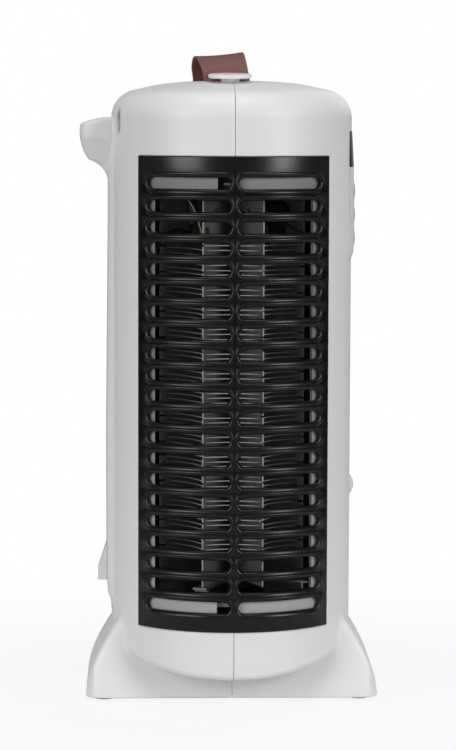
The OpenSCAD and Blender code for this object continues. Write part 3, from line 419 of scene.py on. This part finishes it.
def half_shell(side, holes):
    """One half shell, side -1 left or 1 right, with round holes given as (y, z, radius).
    The seam's groove is deep exp(-(x / half)^2), and the left shell's dimple is pressed
    in by (deep + more up) (1 - over^2 - up^2)^0.8."""
    x, y = ring_r * out_x, ring_r * out_y
    groove = groove_deep * np.exp(-(x / groove_half) ** 2)
    x = x + seam_gap * (1 - np.abs(x) / body_r) ** 2
    y = y * (1 - groove / np.maximum(ring_r, 10 * mm))
    if side < 0:
        # the dimple beside the grip lip, deeper towards its head
        up = (ring_z - dimple_z) / dimple_h
        over = (turns_round - dimple_a) * body_r / dimple_w
        bowl = np.clip(1 - over ** 2 - up ** 2, 0, 1) ** 0.8
        pressed = 1 - (dimple_deep + dimple_more * np.clip(up, -1, 1)) / body_r * bowl
        x, y = x * pressed, y * pressed
    skin = np.stack([side * x, y, ring_z], -1)
    mid_z = (ring_z[1:, 1:] + ring_z[:-1, :-1]) / 2
    mid_a = np.broadcast_to((turns_round[1:] + turns_round[:-1]) / 2, mid_z.shape)
    in_recess = (mid_a < recess_a) & (mid_z < recess_z1) & (mid_z > recess_z0)
    in_intake = (mid_a > math.pi - math.asin(intake_hi.x / panel_r) + 0.02) \
        & (mid_z < intake_hi.z - 1 * mm) & (mid_z > intake_lo.z + 1 * mm)
    keep = ~in_recess & ~in_intake
    points, faces = [skin.reshape(-1, 3)], []
    for hole_y, hole_z, hole_r in holes:
        # a block of cells gives way to a ring of quads round the hole and the hole's wall
        covered = np.hypot(skin[..., 1] - hole_y, ring_z - hole_z) < hole_r + hole_border
        covered &= side * skin[..., 0] > 10 * mm
        i, j = np.nonzero(covered)
        i0, i1, j0, j1 = i.min() - 1, i.max() + 1, j.min() - 1, j.max() + 1
        keep[i0:i1, j0:j1] = False
        edge = np.concatenate([skin[i0, j0:j1], skin[i0:i1, j1], skin[i1, j1:j0:-1], skin[i1:i0:-1, j0]])
        angle = np.arctan2(edge[:, 2] - hole_z, edge[:, 1] - hole_y)
        ring_y = hole_y + hole_r * np.cos(angle)
        ring = np.stack([side * np.sqrt(body_r ** 2 - ring_y ** 2), ring_y,
                         hole_z + hole_r * np.sin(angle)], -1)
        deep = ring - [side * hole_deep, 0, 0]
        faces.append(grid_faces(3, len(edge), wrap=True) + sum(map(len, points)))
        points.append(np.concatenate([edge, ring, deep]))
    faces.insert(0, grid_faces(rows, cols)[keep.ravel()])
    # the rims: along both seams, and round the recess of the grille
    for column, edge_y in ((0, -1), (cols - 1, 1)):
        r, z = seam_return(column)
        rim = np.stack([np.full(len(r), side * seam_gap), edge_y * r, z], -1)
        open_z0, open_z1 = (recess_z0, recess_z1) if column == 0 else (intake_lo.z, intake_hi.z)
        solid = (z >= open_z1) | (z <= open_z0)
        strip = grid_faces(2, len(r))[solid[1:] & solid[:-1]]
        faces.append(strip + sum(map(len, points)))
        points.append(np.concatenate([skin[:seam_rows, column], rim]))
    top_row = int(np.argmin(np.abs(ring_z[:, 0] - recess_z1)))
    low_row = int(np.argmin(np.abs(ring_z[:, 0] - recess_z0)))
    last = int(np.argmin(np.abs(turns_round - recess_a)))
    for edge in (skin[top_row, :last + 1], skin[top_row:low_row + 1, last], skin[low_row, :last + 1]):
        faces.append(grid_faces(2, len(edge)) + sum(map(len, points)))
        points.append(np.concatenate([edge, edge * [1 - recess_deep / body_r, 1 - recess_deep / body_r, 1]]))
    return np.concatenate(points), np.concatenate(faces)


# How far under the skin the solid's own ribs, and its flange behind the grille, begin
rib_depth, flange_depth, seam_clear = 2.3 * mm, 1.9 * mm, 0.3 * mm


def inner_faces(name):
    """Triangles of a shell's solid that lie inside its wall: ribs, bosses and flange."""
    mesh = nodes[name].data
    points = np.empty(len(mesh.vertices) * 3)
    mesh.vertices.foreach_get("co", points)
    points = points.reshape(-1, 3)
    mesh.calc_loop_triangles()
    corners = np.empty(len(mesh.loop_triangles) * 3, int)
    mesh.loop_triangles.foreach_get("vertices", corners)
    corners = corners.reshape(-1, 3)
    x, y, z = points.T
    over_dome = np.hypot(x, y) - np.interp(z, dome_z[::-1], dome_r[::-1])
    over_skin = np.where(z > shoulder_z, over_dome, outside(x, y, z))
    in_front = np.arctan2(np.abs(x), -y) < recess_a + 0.01
    behind_grille = in_front & (z > recess_z0 - 1 * mm) & (z < recess_z1 + 1 * mm)
    inside = over_skin < np.where(behind_grille, -flange_depth, -rib_depth)
    off_seam = np.abs(x) > seam_clear
    return points, corners[inside[corners].all(1) & off_seam[corners].any(1)]


dress(zinc_steel, "shell_screws")
screw_y, screw_hole_r, button_hole_r = 56.5 * mm, 3.1 * mm, 5.9 * mm
window_z0, window_z1 = 64.2 * mm, grille_hi.z - 20.85 * mm
screw_z = (window_z0 + 22 * mm, (window_z0 + window_z1) / 2, shoulder_z - 9 * mm)
screw_holes = [(screw_y, z, screw_hole_r) for z in screw_z]
button_hole = (0, sum(c.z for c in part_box("power_button")) / 2, button_hole_r)
for name, side, holes in (("left_shell", -1, screw_holes), ("right_shell", 1, [button_hole])):
    points, faces = half_shell(side, holes)
    skin = new_mesh(name + "_skin", points, faces, white_abs)
    weld(skin)
    shell = bmesh.new()
    shell.from_mesh(skin.data)
    inner_points, inner_tris = inner_faces(name)
    inner = new_mesh(name + "_ribs", inner_points, inner_tris, white_abs, smooth=False)
    weld(inner, outward=False)
    outer_count = len(shell.faces)
    shell.from_mesh(inner.data)
    shell.to_mesh(skin.data)
    skin.data.materials.append(inner_abs)
    on_ribs = np.arange(len(skin.data.polygons)) >= outer_count
    skin.data.polygons.foreach_set("material_index", on_ribs.astype(int))
    shell.free()
    bpy.data.objects.remove(inner)
    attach(skin, "housing")
    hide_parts(name)


# Fan: a drawn steel motor under a grey deck, on a pressed bracket, turns a black fan.
# An aluminised sheet shields the shells from the element above. These are the solids.

# Drawn steel is a smooth dull mirror. Aluminised sheet that has been hot looks pale, matt
# and blotched.
drawn_steel = grained(finish("drawn_steel_can", "#b2b3b5", 0.3, Metallic=1.0),
                      0.7 * mm, 0.003 * mm, "#9a9b9e", 0.42)
shield_sheet = grained(finish("dull_aluminised_sheet", "#d4d4d4", 0.5, Metallic=0.15),
                       1.2 * mm, 0.01 * mm, "#bcbcbc", 0.62)
dress(zinc_steel, "motor_bracket", "base_screws")
dress(drawn_steel, "fan_motor", "motor_shaft")
dress(black_plastic, "fan_impeller")
dress(grey_moulding, "fan_deck")
dress(shield_sheet, "heat_shield")


# Element: crossed mica boards with notched edges carry the heating wire. The boards and
# their fittings are the solids; the wire is wound anew with the real number of turns.
wire_sag, sag_uneven, run_uneven = 4 * mm, 0.6 * mm, 0.18 * mm


def wound_wire(turns, reach_out, z_top, pitch, wire_r):
    """Tube wound over eight posts: at a share f of the way from one post to the next it
    sags inwards by sag sin(pi f)^0.8, and it steps down mostly on the run before the
    front left post. Its bare upper end comes down to that post from the bracket. A sine
    of the run's number makes the runs a little uneven."""
    corner = np.radians(-112.5 + 45 * np.arange(9))
    drop = np.cumsum([0, 0.06, 0.06, 0.09, 0.09, 0.09, 0.12, 0.14, 0.35])
    along = np.arange(turns * 8 * 6 + 1) / 6
    post = np.floor(along).astype(int)
    share = (along - post)[:, None]
    here, there = corner[post % 8], corner[post % 8 + 1]
    start, end = np.stack([np.cos(here), np.sin(here)], 1), np.stack([np.cos(there), np.sin(there)], 1)
    sag = (wire_sag + sag_uneven * np.sin(78.2 * post)[:, None]) * np.sin(math.pi * share) ** 0.8
    flat = (start * (1 - share) + end * share) * (reach_out - sag)
    level = post // 8 + drop[post % 8] + (drop[post % 8 + 1] - drop[post % 8]) * share[:, 0]
    z = z_top - pitch * level + run_uneven * np.sin(31.7 * post) * np.sin(math.pi * share[:, 0])
    bare_end = [(-25.2, -36, 281.8), (-22.8, -36.3, 278.8), (-20.9, -36.6, 274.6), (-19.2, -37, 269.2),
                (-17.5, -37.4, 263.4), (-16.2, -37.6, 259)]
    centre = np.concatenate([np.array(bare_end) * mm, np.column_stack([flat, z])])
    run = np.gradient(centre, axis=0)
    run /= np.linalg.norm(run, axis=1)[:, None]
    side = np.cross(run, [0, 0, 1])
    side /= np.linalg.norm(side, axis=1)[:, None]
    up = np.cross(side, run)
    turn = np.linspace(0, 2 * math.pi, 7)[:-1]
    ring = side[:, None] * np.cos(turn)[:, None] + up[:, None] * np.sin(turn)[:, None]
    return centre[:, None] + wire_r * ring


# Drawn nickel-chrome wire is bright, with a dull warm oxide where it has glowed
wind_lo, wind_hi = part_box("heating_wire")
turns, wind_r, wire_r, end_gap = 64, 40.4 * mm, 0.3 * mm, 0.5 * mm
tube = wound_wire(turns, wind_r, wind_hi.z - end_gap, (wind_hi.z - wind_lo.z - 2 * end_gap) / turns, wire_r)
wire = new_mesh("wound_heating_wire", tube, grid_faces(len(tube), 6, wrap=True),
                grained(finish("drawn_nickel_chrome_wire", "#f4f3f1", 0.34, Metallic=0.35),
                        0.4 * mm, 0.002 * mm, "#d8d3ce", 0.44, spread=20))
shape = bmesh.new()
shape.from_mesh(wire.data)
bmesh.ops.holes_fill(shape, edges=shape.edges, sides=6)
bmesh.ops.recalc_face_normals(shape, faces=shape.faces)
shape.to_mesh(wire.data)
shape.free()
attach(wire, "housing")
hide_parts("heating_wire")

# Mica: bonded sheet, darker below the top of the winding as painted shade, and pale along its sawn edge
mica = grained(finish("bonded_mica_sheet", "#7d7c7a", 0.5), 1.5 * mm, 0.02 * mm, rough=0.62)
tree = mica.node_tree
place = add_node(tree, "ShaderNodeTexCoord")
flat = add_node(tree, "ShaderNodeVectorMath", [(0, place.outputs["Object"])],
                operation="MULTIPLY", i1=(1, 1, 0))
out = add_node(tree, "ShaderNodeVectorMath", [(0, flat.outputs[0])], operation="LENGTH")
vane_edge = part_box("mica_vanes")[1].x / math.cos(math.radians(22.5))
sawn = add_node(tree, "ShaderNodeMapRange", [("Value", out.outputs["Value"])],
                i1=vane_edge - 0.5 * mm, i2=vane_edge - 0.2 * mm)
part = add_node(tree, "ShaderNodeSeparateXYZ", [(0, place.outputs["Object"])])
above_winding = add_node(tree, "ShaderNodeMapRange", [("Value", part.outputs["Z"])],
                i1=wind_hi.z, i2=wind_hi.z + 5 * mm)
# painted shade: darker below the top of the winding, paler above it
painted_shade_by_height = add_node(tree, "ShaderNodeMix", [("Factor", above_winding.outputs[0])], data_type="RGBA",
                 i6=linear("#6b6a68"), i7=linear("#7d7c7a"))
shade = add_node(tree, "ShaderNodeMix", [("Factor", sawn.outputs[0]), (6, painted_shade_by_height.outputs[2])],
                 data_type="RGBA", i7=linear("#c2c1bd"))
tree.links.new(shade.outputs[2], tree.nodes["Principled BSDF"].inputs["Base Color"])
dress(mica, "mica_vanes")

# Fittings of the element: zinc steel spider and bracket, rolled brass eyelets, a black
# cut-out and a steel fuse. Brass goes copper-brown in patches in the heat, and the leads'
# woven glass sleeve is a dull brown, with its weave drawn coarse enough to show.
brass = grained(finish("rolled_brass_heat_tinted", "#b5824c", 0.32, Metallic=1.0),
                0.6 * mm, 0.003 * mm, "#8d5636", 0.45)
sleeve = finish("woven_glass_sleeve", "#33261f", 0.8)
tree = sleeve.node_tree
place = add_node(tree, "ShaderNodeTexCoord")
weave = add_node(tree, "ShaderNodeTexVoronoi", [("Vector", place.outputs["Object"])], Scale=1 / (0.5 * mm))
bump = add_node(tree, "ShaderNodeBump", [("Height", weave.outputs["Distance"])], Distance=0.08 * mm)
shade = add_node(tree, "ShaderNodeMix", [("Factor", weave.outputs["Distance"])], data_type="RGBA",
                 i6=linear("#281b15"), i7=linear("#493529"))
tree.links.new(bump.outputs[0], tree.nodes["Principled BSDF"].inputs["Normal"])
tree.links.new(shade.outputs[2], tree.nodes["Principled BSDF"].inputs["Base Color"])
dress(zinc_steel, "lower_spider", "top_bracket", "thermal_fuse")
dress(brass, "eyelets")
dress(sleeve, "lead_wires")
dress(black_plastic, "thermal_cutout")


# Outlet grille: one satin black moulding in heat-resistant plastic, a slice of a
# cylinder with two columns of round-ended slots. Every slot has a rolled rim that stands
# proud, so each is a tile of rings from the back edge over the rim to the tile's border.
grille_t, rim_h, rim_crest, rim_deep, rim_fall = 2.4 * mm, 0.9 * mm, 2.3 * mm, 2.1 * mm, 0.8 * mm
slot_h, slot_x0, slot_x1 = 6.2 * mm, 2.4 * mm, 47.1 * mm
top_slot_z, low_slot_z, slot_pitch = grille_hi.z - 14.6 * mm, 58.4 * mm, 11.63 * mm
row_z = np.concatenate([[top_slot_z], low_slot_z + slot_pitch * np.arange(19, -1, -1)])
edge_r = 0.5 * mm
half_w = grille_hi.x - edge_r

# Heat-resistant plastic off a satin tool is deep black, with a soft streak of light along
# each rim
satin_black = grained(finish("satin_black_moulding", "#050506", 0.25, Specular_IOR_Level=0.38),
                      0.7 * mm, 0.0008 * mm, "#08080a", 0.31)


def rim_height(offset):
    """Height over the panel at an offset o from the opening: a quarter ellipse up to the
    crest, h = rim_h - deep (1 - sqrt(1 - (1 - o / crest)^2)), then half a cosine down."""
    rise = np.sqrt(1 - np.clip(1 - offset / rim_crest, 0, 1) ** 2)
    past = np.clip((offset - rim_crest) / rim_fall, 0, 1)
    fall = rim_h / 2 * (1 + np.cos(math.pi * past))
    return np.where(offset < rim_crest, rim_h - rim_deep * (1 - rise), fall)


def slot_tile(low, high, mid):
    """Rings of one right-hand slot between tile heights low and high, slot at mid, on
    y = -sqrt((R + h)^2 - x^2): the tile's back, the opening, the rim and the border.
    The rim is narrower at the slot's inner end, beside the bar in the middle."""
    r = slot_h / 2
    x0, x1 = slot_x0 + r, slot_x1 - r
    run = np.linspace(x0, x1, 25)

    def turn_angles(reach_x):
        """Angles of one round end, with a point on each corner of the tile."""
        up, down = math.atan2(high - mid, reach_x), math.atan2(low - mid, reach_x)
        return np.concatenate([np.linspace(math.pi / 2, up, 5), np.linspace(up, down, 9)[1:],
                               np.linspace(down, -math.pi / 2, 5)[1:]])[1:-1]

    right, left = turn_angles(half_w - x1), turn_angles(x0)[::-1]
    centre = np.concatenate([run, np.full(len(right), x1), run[::-1], np.full(len(left), x0)])
    way_x = np.concatenate([0 * run, np.cos(right), 0 * run, -np.cos(left)])
    way_z = np.concatenate([0 * run + 1, np.sin(right), 0 * run - 1, np.sin(left)])
    edge_x = np.where(way_x > 0, half_w - x1, x0)
    edge_z = np.where(way_z > 0, high - mid, low - mid)
    far = 1 / np.maximum(np.abs(way_x) / edge_x, way_z / edge_z)
    inner_end = 0.42
    narrow = 1 - inner_end * np.clip(-way_x, 0, 1)
    rise = rim_crest * (1 - np.cos(np.linspace(0, math.pi / 2, 9)))
    fall = rim_crest + rim_fall * np.array([0.25, 0.5, 0.75, 1])
    offset = np.concatenate([[0], rise, fall])[:, None]
    room = np.concatenate([0 * rise + 0.9, [0.92, 0.94, 0.96, 0.98, 0.99]])[:, None]
    past = np.minimum(offset * narrow, (far - r) * room)
    height = rim_height(past / narrow)
    height[0] = -grille_t
    spread = np.vstack([far[None], r + past, far[None]])
    height = np.vstack([0 * far - grille_t, height, rim_height((far - r) / narrow)])
    x, z = centre + spread * way_x, mid + spread * way_z
    return np.stack([x, -np.sqrt((panel_r + height) ** 2 - x ** 2), z], -1)


def grille_edge(border):
    """Rolled outer edge along the closed border of the tiles, then down to the back: a
    quarter circle out by edge sin(a) and back by edge (1 - cos(a))."""
    x, z = border.T
    z_mid, half_h = (grille_lo.z + grille_hi.z) / 2, (grille_hi.z - grille_lo.z) / 2 - edge_r
    out_side = np.where(np.abs(x) > half_w - hair, np.sign(x), 0)
    out_end = np.where(np.abs(z - z_mid) > half_h - hair, np.sign(z - z_mid), 0)
    bend = np.linspace(0, math.pi / 2, 5)[:, None]
    reach_out = np.vstack([edge_r * np.sin(bend), [[edge_r], [0]]])
    height = np.vstack([edge_r * (np.cos(bend) - 1), [[-grille_t], [-grille_t]]])
    x, z = x + reach_out * out_side, z + reach_out * out_end
    return np.stack([x, -np.sqrt((panel_r + height) ** 2 - x ** 2), z], -1)


points, faces, sides_z, top_x = [], [], [], None
borders = np.concatenate([[grille_hi.z - edge_r], (row_z[1:] + row_z[:-1]) / 2, [grille_lo.z + edge_r]])
for high, low, mid in zip(borders[:-1], borders[1:], row_z):
    tile = slot_tile(low, high, mid)
    sides_z.append(tile[-1][np.abs(tile[-1][:, 0] - half_w) < hair][:, 2])
    if top_x is None:
        top_x = tile[-1][np.abs(tile[-1][:, 2] - high) < hair][:, 0]
    for side in (1, -1):
        faces.append(grid_faces(len(tile), tile.shape[1], wrap=True)[:, ::side] + sum(map(len, points)))
        points.append(tile.reshape(-1, 3) * [side, 1, 1])
low_x = tile[-1][np.abs(tile[-1][:, 2] - low) < hair][:, 0]
# the tiles' border as one closed line: along the top, down the right, back along the
# bottom and up the left
down = np.unique(np.round(np.concatenate(sides_z), 9))[::-1]
top_x, low_x = np.unique(np.round(top_x, 9)), np.unique(np.round(low_x, 9))
border = np.concatenate([
    np.stack([np.concatenate([-top_x[:0:-1], top_x]), np.full(2 * len(top_x) - 1, borders[0])], 1),
    np.stack([np.full(len(down) - 2, half_w), down[1:-1]], 1),
    np.stack([np.concatenate([low_x[::-1], -low_x[1:]]), np.full(2 * len(low_x) - 1, borders[-1])], 1),
    np.stack([np.full(len(down) - 2, -half_w), down[-2:0:-1]], 1)])
edge = grille_edge(border)
faces.append(grid_faces(len(edge), edge.shape[1], wrap=True) + sum(map(len, points)))
points.append(edge.reshape(-1, 3))
grille = new_mesh("outlet_grille_rimmed", np.concatenate(points), np.concatenate(faces), satin_black)
weld(grille)
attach(grille, "housing")
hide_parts("outlet_grille")

# Intake grille: the same black moulding, low on the back
dress(satin_black, "intake_grille")


# Spine cover: a slim white moulding down the left side with the grip lip at its head.
# The lip is a stack of squared half ellipses that follow its outline from the top, round
# the nose and along the hollow underside.
spine_t, spine_a, spine_z0, spine_z1 = 3.2 * mm, math.radians(17.5), 48.3 * mm, shoulder_z - 2 * mm
tail_z, crest_share, slope_share, sunk = spine_z0 + 14.7 * mm, 0.42, 0.4, 0.4 * mm
lip_half_w, lip_root = 13 * mm, body_r - 4.5 * mm
lip_edge, narrow_z, wide_z, narrow_share = 6 * mm, shoulder_z - 37 * mm, shoulder_z - 10 * mm, 0.45

# The moulding stands proud of the shell by heights set along it, ends in a quarter circle
# at its head, and falls to the shell on each side by half a cosine
spine_z = np.concatenate([np.linspace(spine_z0, tail_z, 12),
                          np.linspace(tail_z, spine_z1 - spine_t, 60)[1:],
                          spine_z1 - spine_t + spine_t * np.sin(np.linspace(0, math.pi / 2, 9)[1:])])
stops = [spine_z0, spine_z0 + 4.5 * mm, spine_z0 + 8 * mm, spine_z0 + 18 * mm, 150 * mm, 270 * mm]
proud = np.interp(spine_z, stops, [0.25 * mm, 0.5 * mm, 2.1 * mm, 3 * mm, spine_t, 2.1 * mm])
proud *= np.sqrt(np.clip(1 - (np.maximum(spine_z - spine_z1 + spine_t, 0) / spine_t) ** 2, 0, 1))
share = np.sin(np.linspace(-math.pi / 2, math.pi / 2, 61))
back = np.linspace(1, -1, 9)[1:-1]
around = np.concatenate([share, back]) * spine_a
slope = np.clip((np.abs(share) - crest_share) / slope_share, 0, 1)
lift = np.concatenate([0.5 + 0.5 * np.cos(math.pi * slope), 0 * back])
sunk_r = body_r - sunk
r = sunk_r + (proud[:, None] + sunk) * lift
points = np.stack([-r * np.cos(around), r * np.sin(around), np.repeat(spine_z[:, None], len(around), 1)], -1)
lid = points[[0, -1]].copy()
lid[..., :2] *= (sunk_r / np.hypot(lid[..., 0], lid[..., 1]))[..., None]
points = np.concatenate([lid[:1], points, lid[1:]])


def lip_rows():
    """Outline of the lip as distance out and height over the shoulder: the arcs of its
    top, its nose and its hollow underside, each a centre, a radius and two angles in
    millimetres and degrees, set evenly apart and softened where they meet by a
    running mean with a raised cosine as its weight."""
    arcs = []
    for out, up, radius, start, stop in ((66, -51.4, 52, 90, 68.3), (59.4, -8, 26.4, 10.8, -36.5),
                                         (83.9, -37.4, 14.2, 103.9, 180)):
        turn = np.radians(np.linspace(start, stop, 200))
        arcs.append(np.stack([out + radius * np.cos(turn), up + radius * np.sin(turn)], 1) * mm)
    line = np.concatenate(arcs)
    far = np.concatenate([[0], np.cumsum(np.linalg.norm(np.diff(line, axis=0), axis=1))])
    even = np.linspace(0, far[-1], 400)
    line = np.stack([np.interp(even, far, line[:, c]) for c in (0, 1)], 1)
    reach_on = 15
    pad = np.vstack([np.repeat(line[:1], reach_on, 0), line, np.repeat(line[-1:], reach_on, 0)])
    weight = np.hanning(2 * reach_on + 1)
    weight /= weight.sum()
    line = np.stack([np.convolve(pad[:, c], weight, "valid") for c in (0, 1)], 1)
    return line[::4]


outline = lip_rows()
reach_out, lip_z = outline[:, :1], shoulder_z + outline[:, 1:]
turn = np.linspace(0, math.pi, 61)
squared = 2 / 4.5
depth = np.abs(np.sin(turn)) ** squared
wide = lip_half_w * np.interp(lip_z + lip_edge * (1 - depth) ** 2, [narrow_z, wide_z], [narrow_share, 1])
lip_x = -(lip_root + (reach_out - lip_root) * depth)
lip_y = wide * np.sign(np.cos(turn)) * np.abs(np.cos(turn)) ** squared
lip = np.stack([lip_x, lip_y, np.broadcast_to(lip_z, lip_y.shape)], -1)
faces = np.concatenate([grid_faces(len(points), len(around), wrap=True),
                        grid_faces(*lip.shape[:2], wrap=True) + points.shape[0] * points.shape[1]])
points = np.concatenate([points.reshape(-1, 3), lip.reshape(-1, 3)])
spine = new_mesh("spine_and_lip", points, faces, white_abs)
weld(spine)
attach(spine, "housing")
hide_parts("spine_cover")
dress(white_abs, "cord_hood")


# Console: a white fascia with three grey keys under a polished black lens, over a green
# board with its display and switches. The power button sits lower on the same side.

# The keys look flat and dull, polished acrylic a sharp black mirror, and the board is
# glossy green with paler tracks
key_grey = grained(finish("moulded_matt_grey_key", "#b4b5b7", 0.45), 0.5 * mm, 0.006 * mm, "#aaabae", 0.52)
lens_black = grained(finish("polished_black_acrylic", "#040405", 0.06, Coat_Weight=0.3),
                     3 * mm, 0.0005 * mm, "#060607", 0.09)
board = finish("solder_mask_on_glass_board", "#1c5536", 0.38)
tree = board.node_tree
place = add_node(tree, "ShaderNodeTexCoord")
tracks = add_node(tree, "ShaderNodeTexBrick", [("Vector", place.outputs["Object"])], Scale=1.0)
for key, value in (("Brick Width", 7 * mm), ("Row Height", 2.2 * mm), ("Mortar Size", 0.3 * mm),
                   ("Color1", linear("#1c5536")), ("Color2", linear("#1a4f33")),
                   ("Mortar", linear("#2f7a4c"))):
    tracks.inputs[key].default_value = value
bump = add_node(tree, "ShaderNodeBump", [("Height", tracks.outputs["Fac"])], Distance=0.03 * mm)
tree.links.new(bump.outputs[0], tree.nodes["Principled BSDF"].inputs["Normal"])
tree.links.new(tracks.outputs["Color"], tree.nodes["Principled BSDF"].inputs["Base Color"])
dress(board, "control_board")
dress(black_plastic, "display_module", "tact_switches", "power_switch")
dress(white_abs, "control_fascia", "power_button")
dress(key_grey, "low_key", "high_key", "timer_key")
dress(lens_black, "display_lens")


# Carrying strap: a rosy brown leather band with a rough back darkened by painted shade, bowed
# up between two studs. It is one section with rounded edges, swept along tab, bend and bow.
strap_half, strap_t, strap_edge = 13.25 * mm, 1.3 * mm, 0.45 * mm
bow_r, bend_r, strap_x = 16.15 * mm, 1.5 * mm, -5 * mm
skew, lean, bow_twist, bow_sink = math.radians(6.3), 0.15, 1.15 * mm, 2.8 * mm
stem_y, rear_shift, bow_drop, tab_end, tab_half = 29.5 * mm, 2 * mm, 0.5 * mm, 5.5 * mm, 9 * mm
widest, waist = strap_half + 0.6 * mm, strap_half - 0.4 * mm
side_points, edge_points, strap_lift = 15, 5, 0.12 * mm
full_bow_z, full_shift_y, off_dome_z = 12 * mm, 14 * mm, 4 * mm
crown_top = dome_z[0]


def strap_band():
    """Rows of the band from the front tab to the rear one. On a tab the band lies on the
    dome, z = dome(x, y) + t / 2 and a little air; on the bow it is a circle that leans to
    the left and twists up to the right."""
    rise = math.radians(9.4)
    bow = np.linspace(math.pi - rise, rise, 49)
    foot = bow_r * math.cos(rise) + bend_r
    bend = np.linspace(math.pi / 2, 0, 9)[:-1]
    tab = np.linspace(stem_y - tab_end, foot, 12)[:-1]
    y = np.concatenate([-tab, -foot + bend_r * np.cos(bend), bow_r * np.cos(bow),
                        foot - bend_r * np.cos(bend[::-1]), tab[::-1]])
    z = np.concatenate([0 * tab, bend_r * (1 - np.sin(bend)), bow_r * np.sin(bow) - bow_drop - strap_t / 2,
                        bend_r * (1 - np.sin(bend[::-1])), 0 * tab])
    run = np.stack([np.gradient(y), np.gradient(z)], 1)
    run /= np.linalg.norm(run, axis=1)[:, None]
    half = np.interp(np.abs(y), [0, 16 * mm, 17.5 * mm, 24.3 * mm], [widest, waist, waist, tab_half])
    cut = np.linspace(0, math.pi / 2, edge_points)
    flat = np.linspace(-1, 1, side_points)
    inner = strap_t / 2 - strap_edge
    across = np.concatenate([flat, 0 * cut[1:] + 1, 0 * cut + 1, flat[::-1], 0 * cut[1:] - 1, 0 * cut - 1])
    over = np.concatenate([0 * flat, np.sin(cut[1:]), np.cos(cut),
                           0 * flat, -np.sin(cut[1:]), -np.cos(cut)])
    out = np.concatenate([0 * flat + strap_t / 2, inner + strap_edge * np.cos(cut[1:]),
                          -inner - strap_edge * np.sin(cut), 0 * flat - strap_t / 2,
                          -inner - strap_edge * np.cos(cut[1:]), inner + strap_edge * np.sin(cut)])
    x = across * (half[:, None] - strap_edge) + over * strap_edge
    y = y[:, None] - out * run[:, 1:]
    z = z[:, None] + out * run[:, :1]
    share = np.clip(z / full_bow_z, 0, 1)
    side = np.clip(x / strap_half, -1, 1)
    x = x - lean * z - rear_shift * np.clip(y / full_shift_y, 0, 1)
    z = z + share * (bow_twist * (side + 1) ** 2 / 2 - bow_sink)
    x, y = strap_x + x * math.cos(skew) - y * math.sin(skew), x * math.sin(skew) + y * math.cos(skew)
    ground = np.interp(np.hypot(x, y), dome_r, dome_z)
    on_dome = np.clip(1 - z / off_dome_z, 0, 1)
    base = crown_top + (ground - crown_top) * on_dome
    return np.stack([x, y, base + z + strap_t / 2 + strap_lift], -1)


# Dyed leather with a smooth face shows fine pores and a soft sheen. Its raw back is redder,
# rough and without any shine, and darker as painted shade for the hollow under the bow
leather = grained(finish("dyed_smooth_leather", "#6e4845", 0.55, Specular_IOR_Level=0.35),
                  0.5 * mm, 0.05 * mm, "#76504c", 0.62, spread=14)
shaded_raw_back = grained(finish("raw_leather_back_painted_shade", "#5c2e28", 0.85), 0.35 * mm, 0.12 * mm, "#6a382f")
band = strap_band()
strap = new_mesh("leather_strap", band, grid_faces(*band.shape[:2], wrap=True), leather)
strap.data.materials.append(shaded_raw_back)
# the back begins after the face and one rounded edge
face = np.arange(band.shape[1])
back_start = side_points + 2 * edge_points - 2
# the back takes the darker material with the painted shade
on_back = (face >= back_start) & (face < back_start + side_points)
strap.data.polygons.foreach_set("material_index", np.tile(on_back, len(band) - 1).astype(int))
shape = bmesh.new()
shape.from_mesh(strap.data)
bmesh.ops.holes_fill(shape, edges=shape.edges, sides=0)
shape.to_mesh(strap.data)
shape.free()
weld(strap)
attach(strap, "housing")
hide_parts("carry_strap")


# Studs: satin white mouldings, a flat cap on a stem through strap and shell. Each is a
# profile turned round its axis, from a shallow crown over two rounded edges to the stem,
# and is set square on the dome.

# The plastic off a smooth tool has a soft, broad gleam
stud_white = grained(finish("moulded_satin_white_stud", "#e6e6e6", 0.3), 0.8 * mm, 0.003 * mm, rough=0.36)
stud_r, stem_r, cap_low, cap_top, cap_edge = 12.1 * mm, 5.2 * mm, 2.2 * mm, 4.6 * mm, 0.6 * mm
cap_rise, stem_edge, stud_sides = 0.25 * mm, 0.5 * mm, 96
bend = np.linspace(0, math.pi / 2, 7)
crown = np.linspace(0, 1, 9)
lathe_r = np.concatenate([(stud_r - cap_edge) * crown,
                          stud_r - cap_edge + cap_edge * np.sin(bend[1:]),
                          stud_r - cap_edge + cap_edge * np.cos(bend),
                          [stem_r + stem_edge, stem_r, stem_r, 0]])
lathe_z = np.concatenate([cap_top - cap_rise * crown ** 2,
                          cap_top - cap_rise - cap_edge * (1 - np.cos(bend[1:])),
                          cap_low + cap_edge * (1 - np.sin(bend)),
                          [cap_low, cap_low - stem_edge, 0, 0]])
turn = np.linspace(0, 2 * math.pi, stud_sides + 1)[:-1]
lathe = np.stack([lathe_r[:, None] * np.cos(turn), lathe_r[:, None] * np.sin(turn),
                  np.repeat(lathe_z[:, None], stud_sides, 1)], -1)
for name, side in (("front_stud", -1), ("rear_stud", 1)):
    x, y = strap_x - side * stem_y * math.sin(skew), side * stem_y * math.cos(skew)
    away, heading = math.hypot(x, y), math.atan2(y, x)
    tilt, z = float(np.interp(away, dome_r, dome_tilt)), float(np.interp(away, dome_r, dome_z))
    place = Matrix.Translation((x, y, z)) @ Matrix.Rotation(heading, 4, "Z") @ Matrix.Rotation(tilt, 4, "Y")
    points = lathe.reshape(-1, 3) @ np.array(place.to_3x3()).T + np.array(place.translation)
    stud = new_mesh(name + "_cap", points, grid_faces(len(lathe), stud_sides, wrap=True), stud_white)
    weld(stud)
    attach(stud, "housing")
    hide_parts(name)
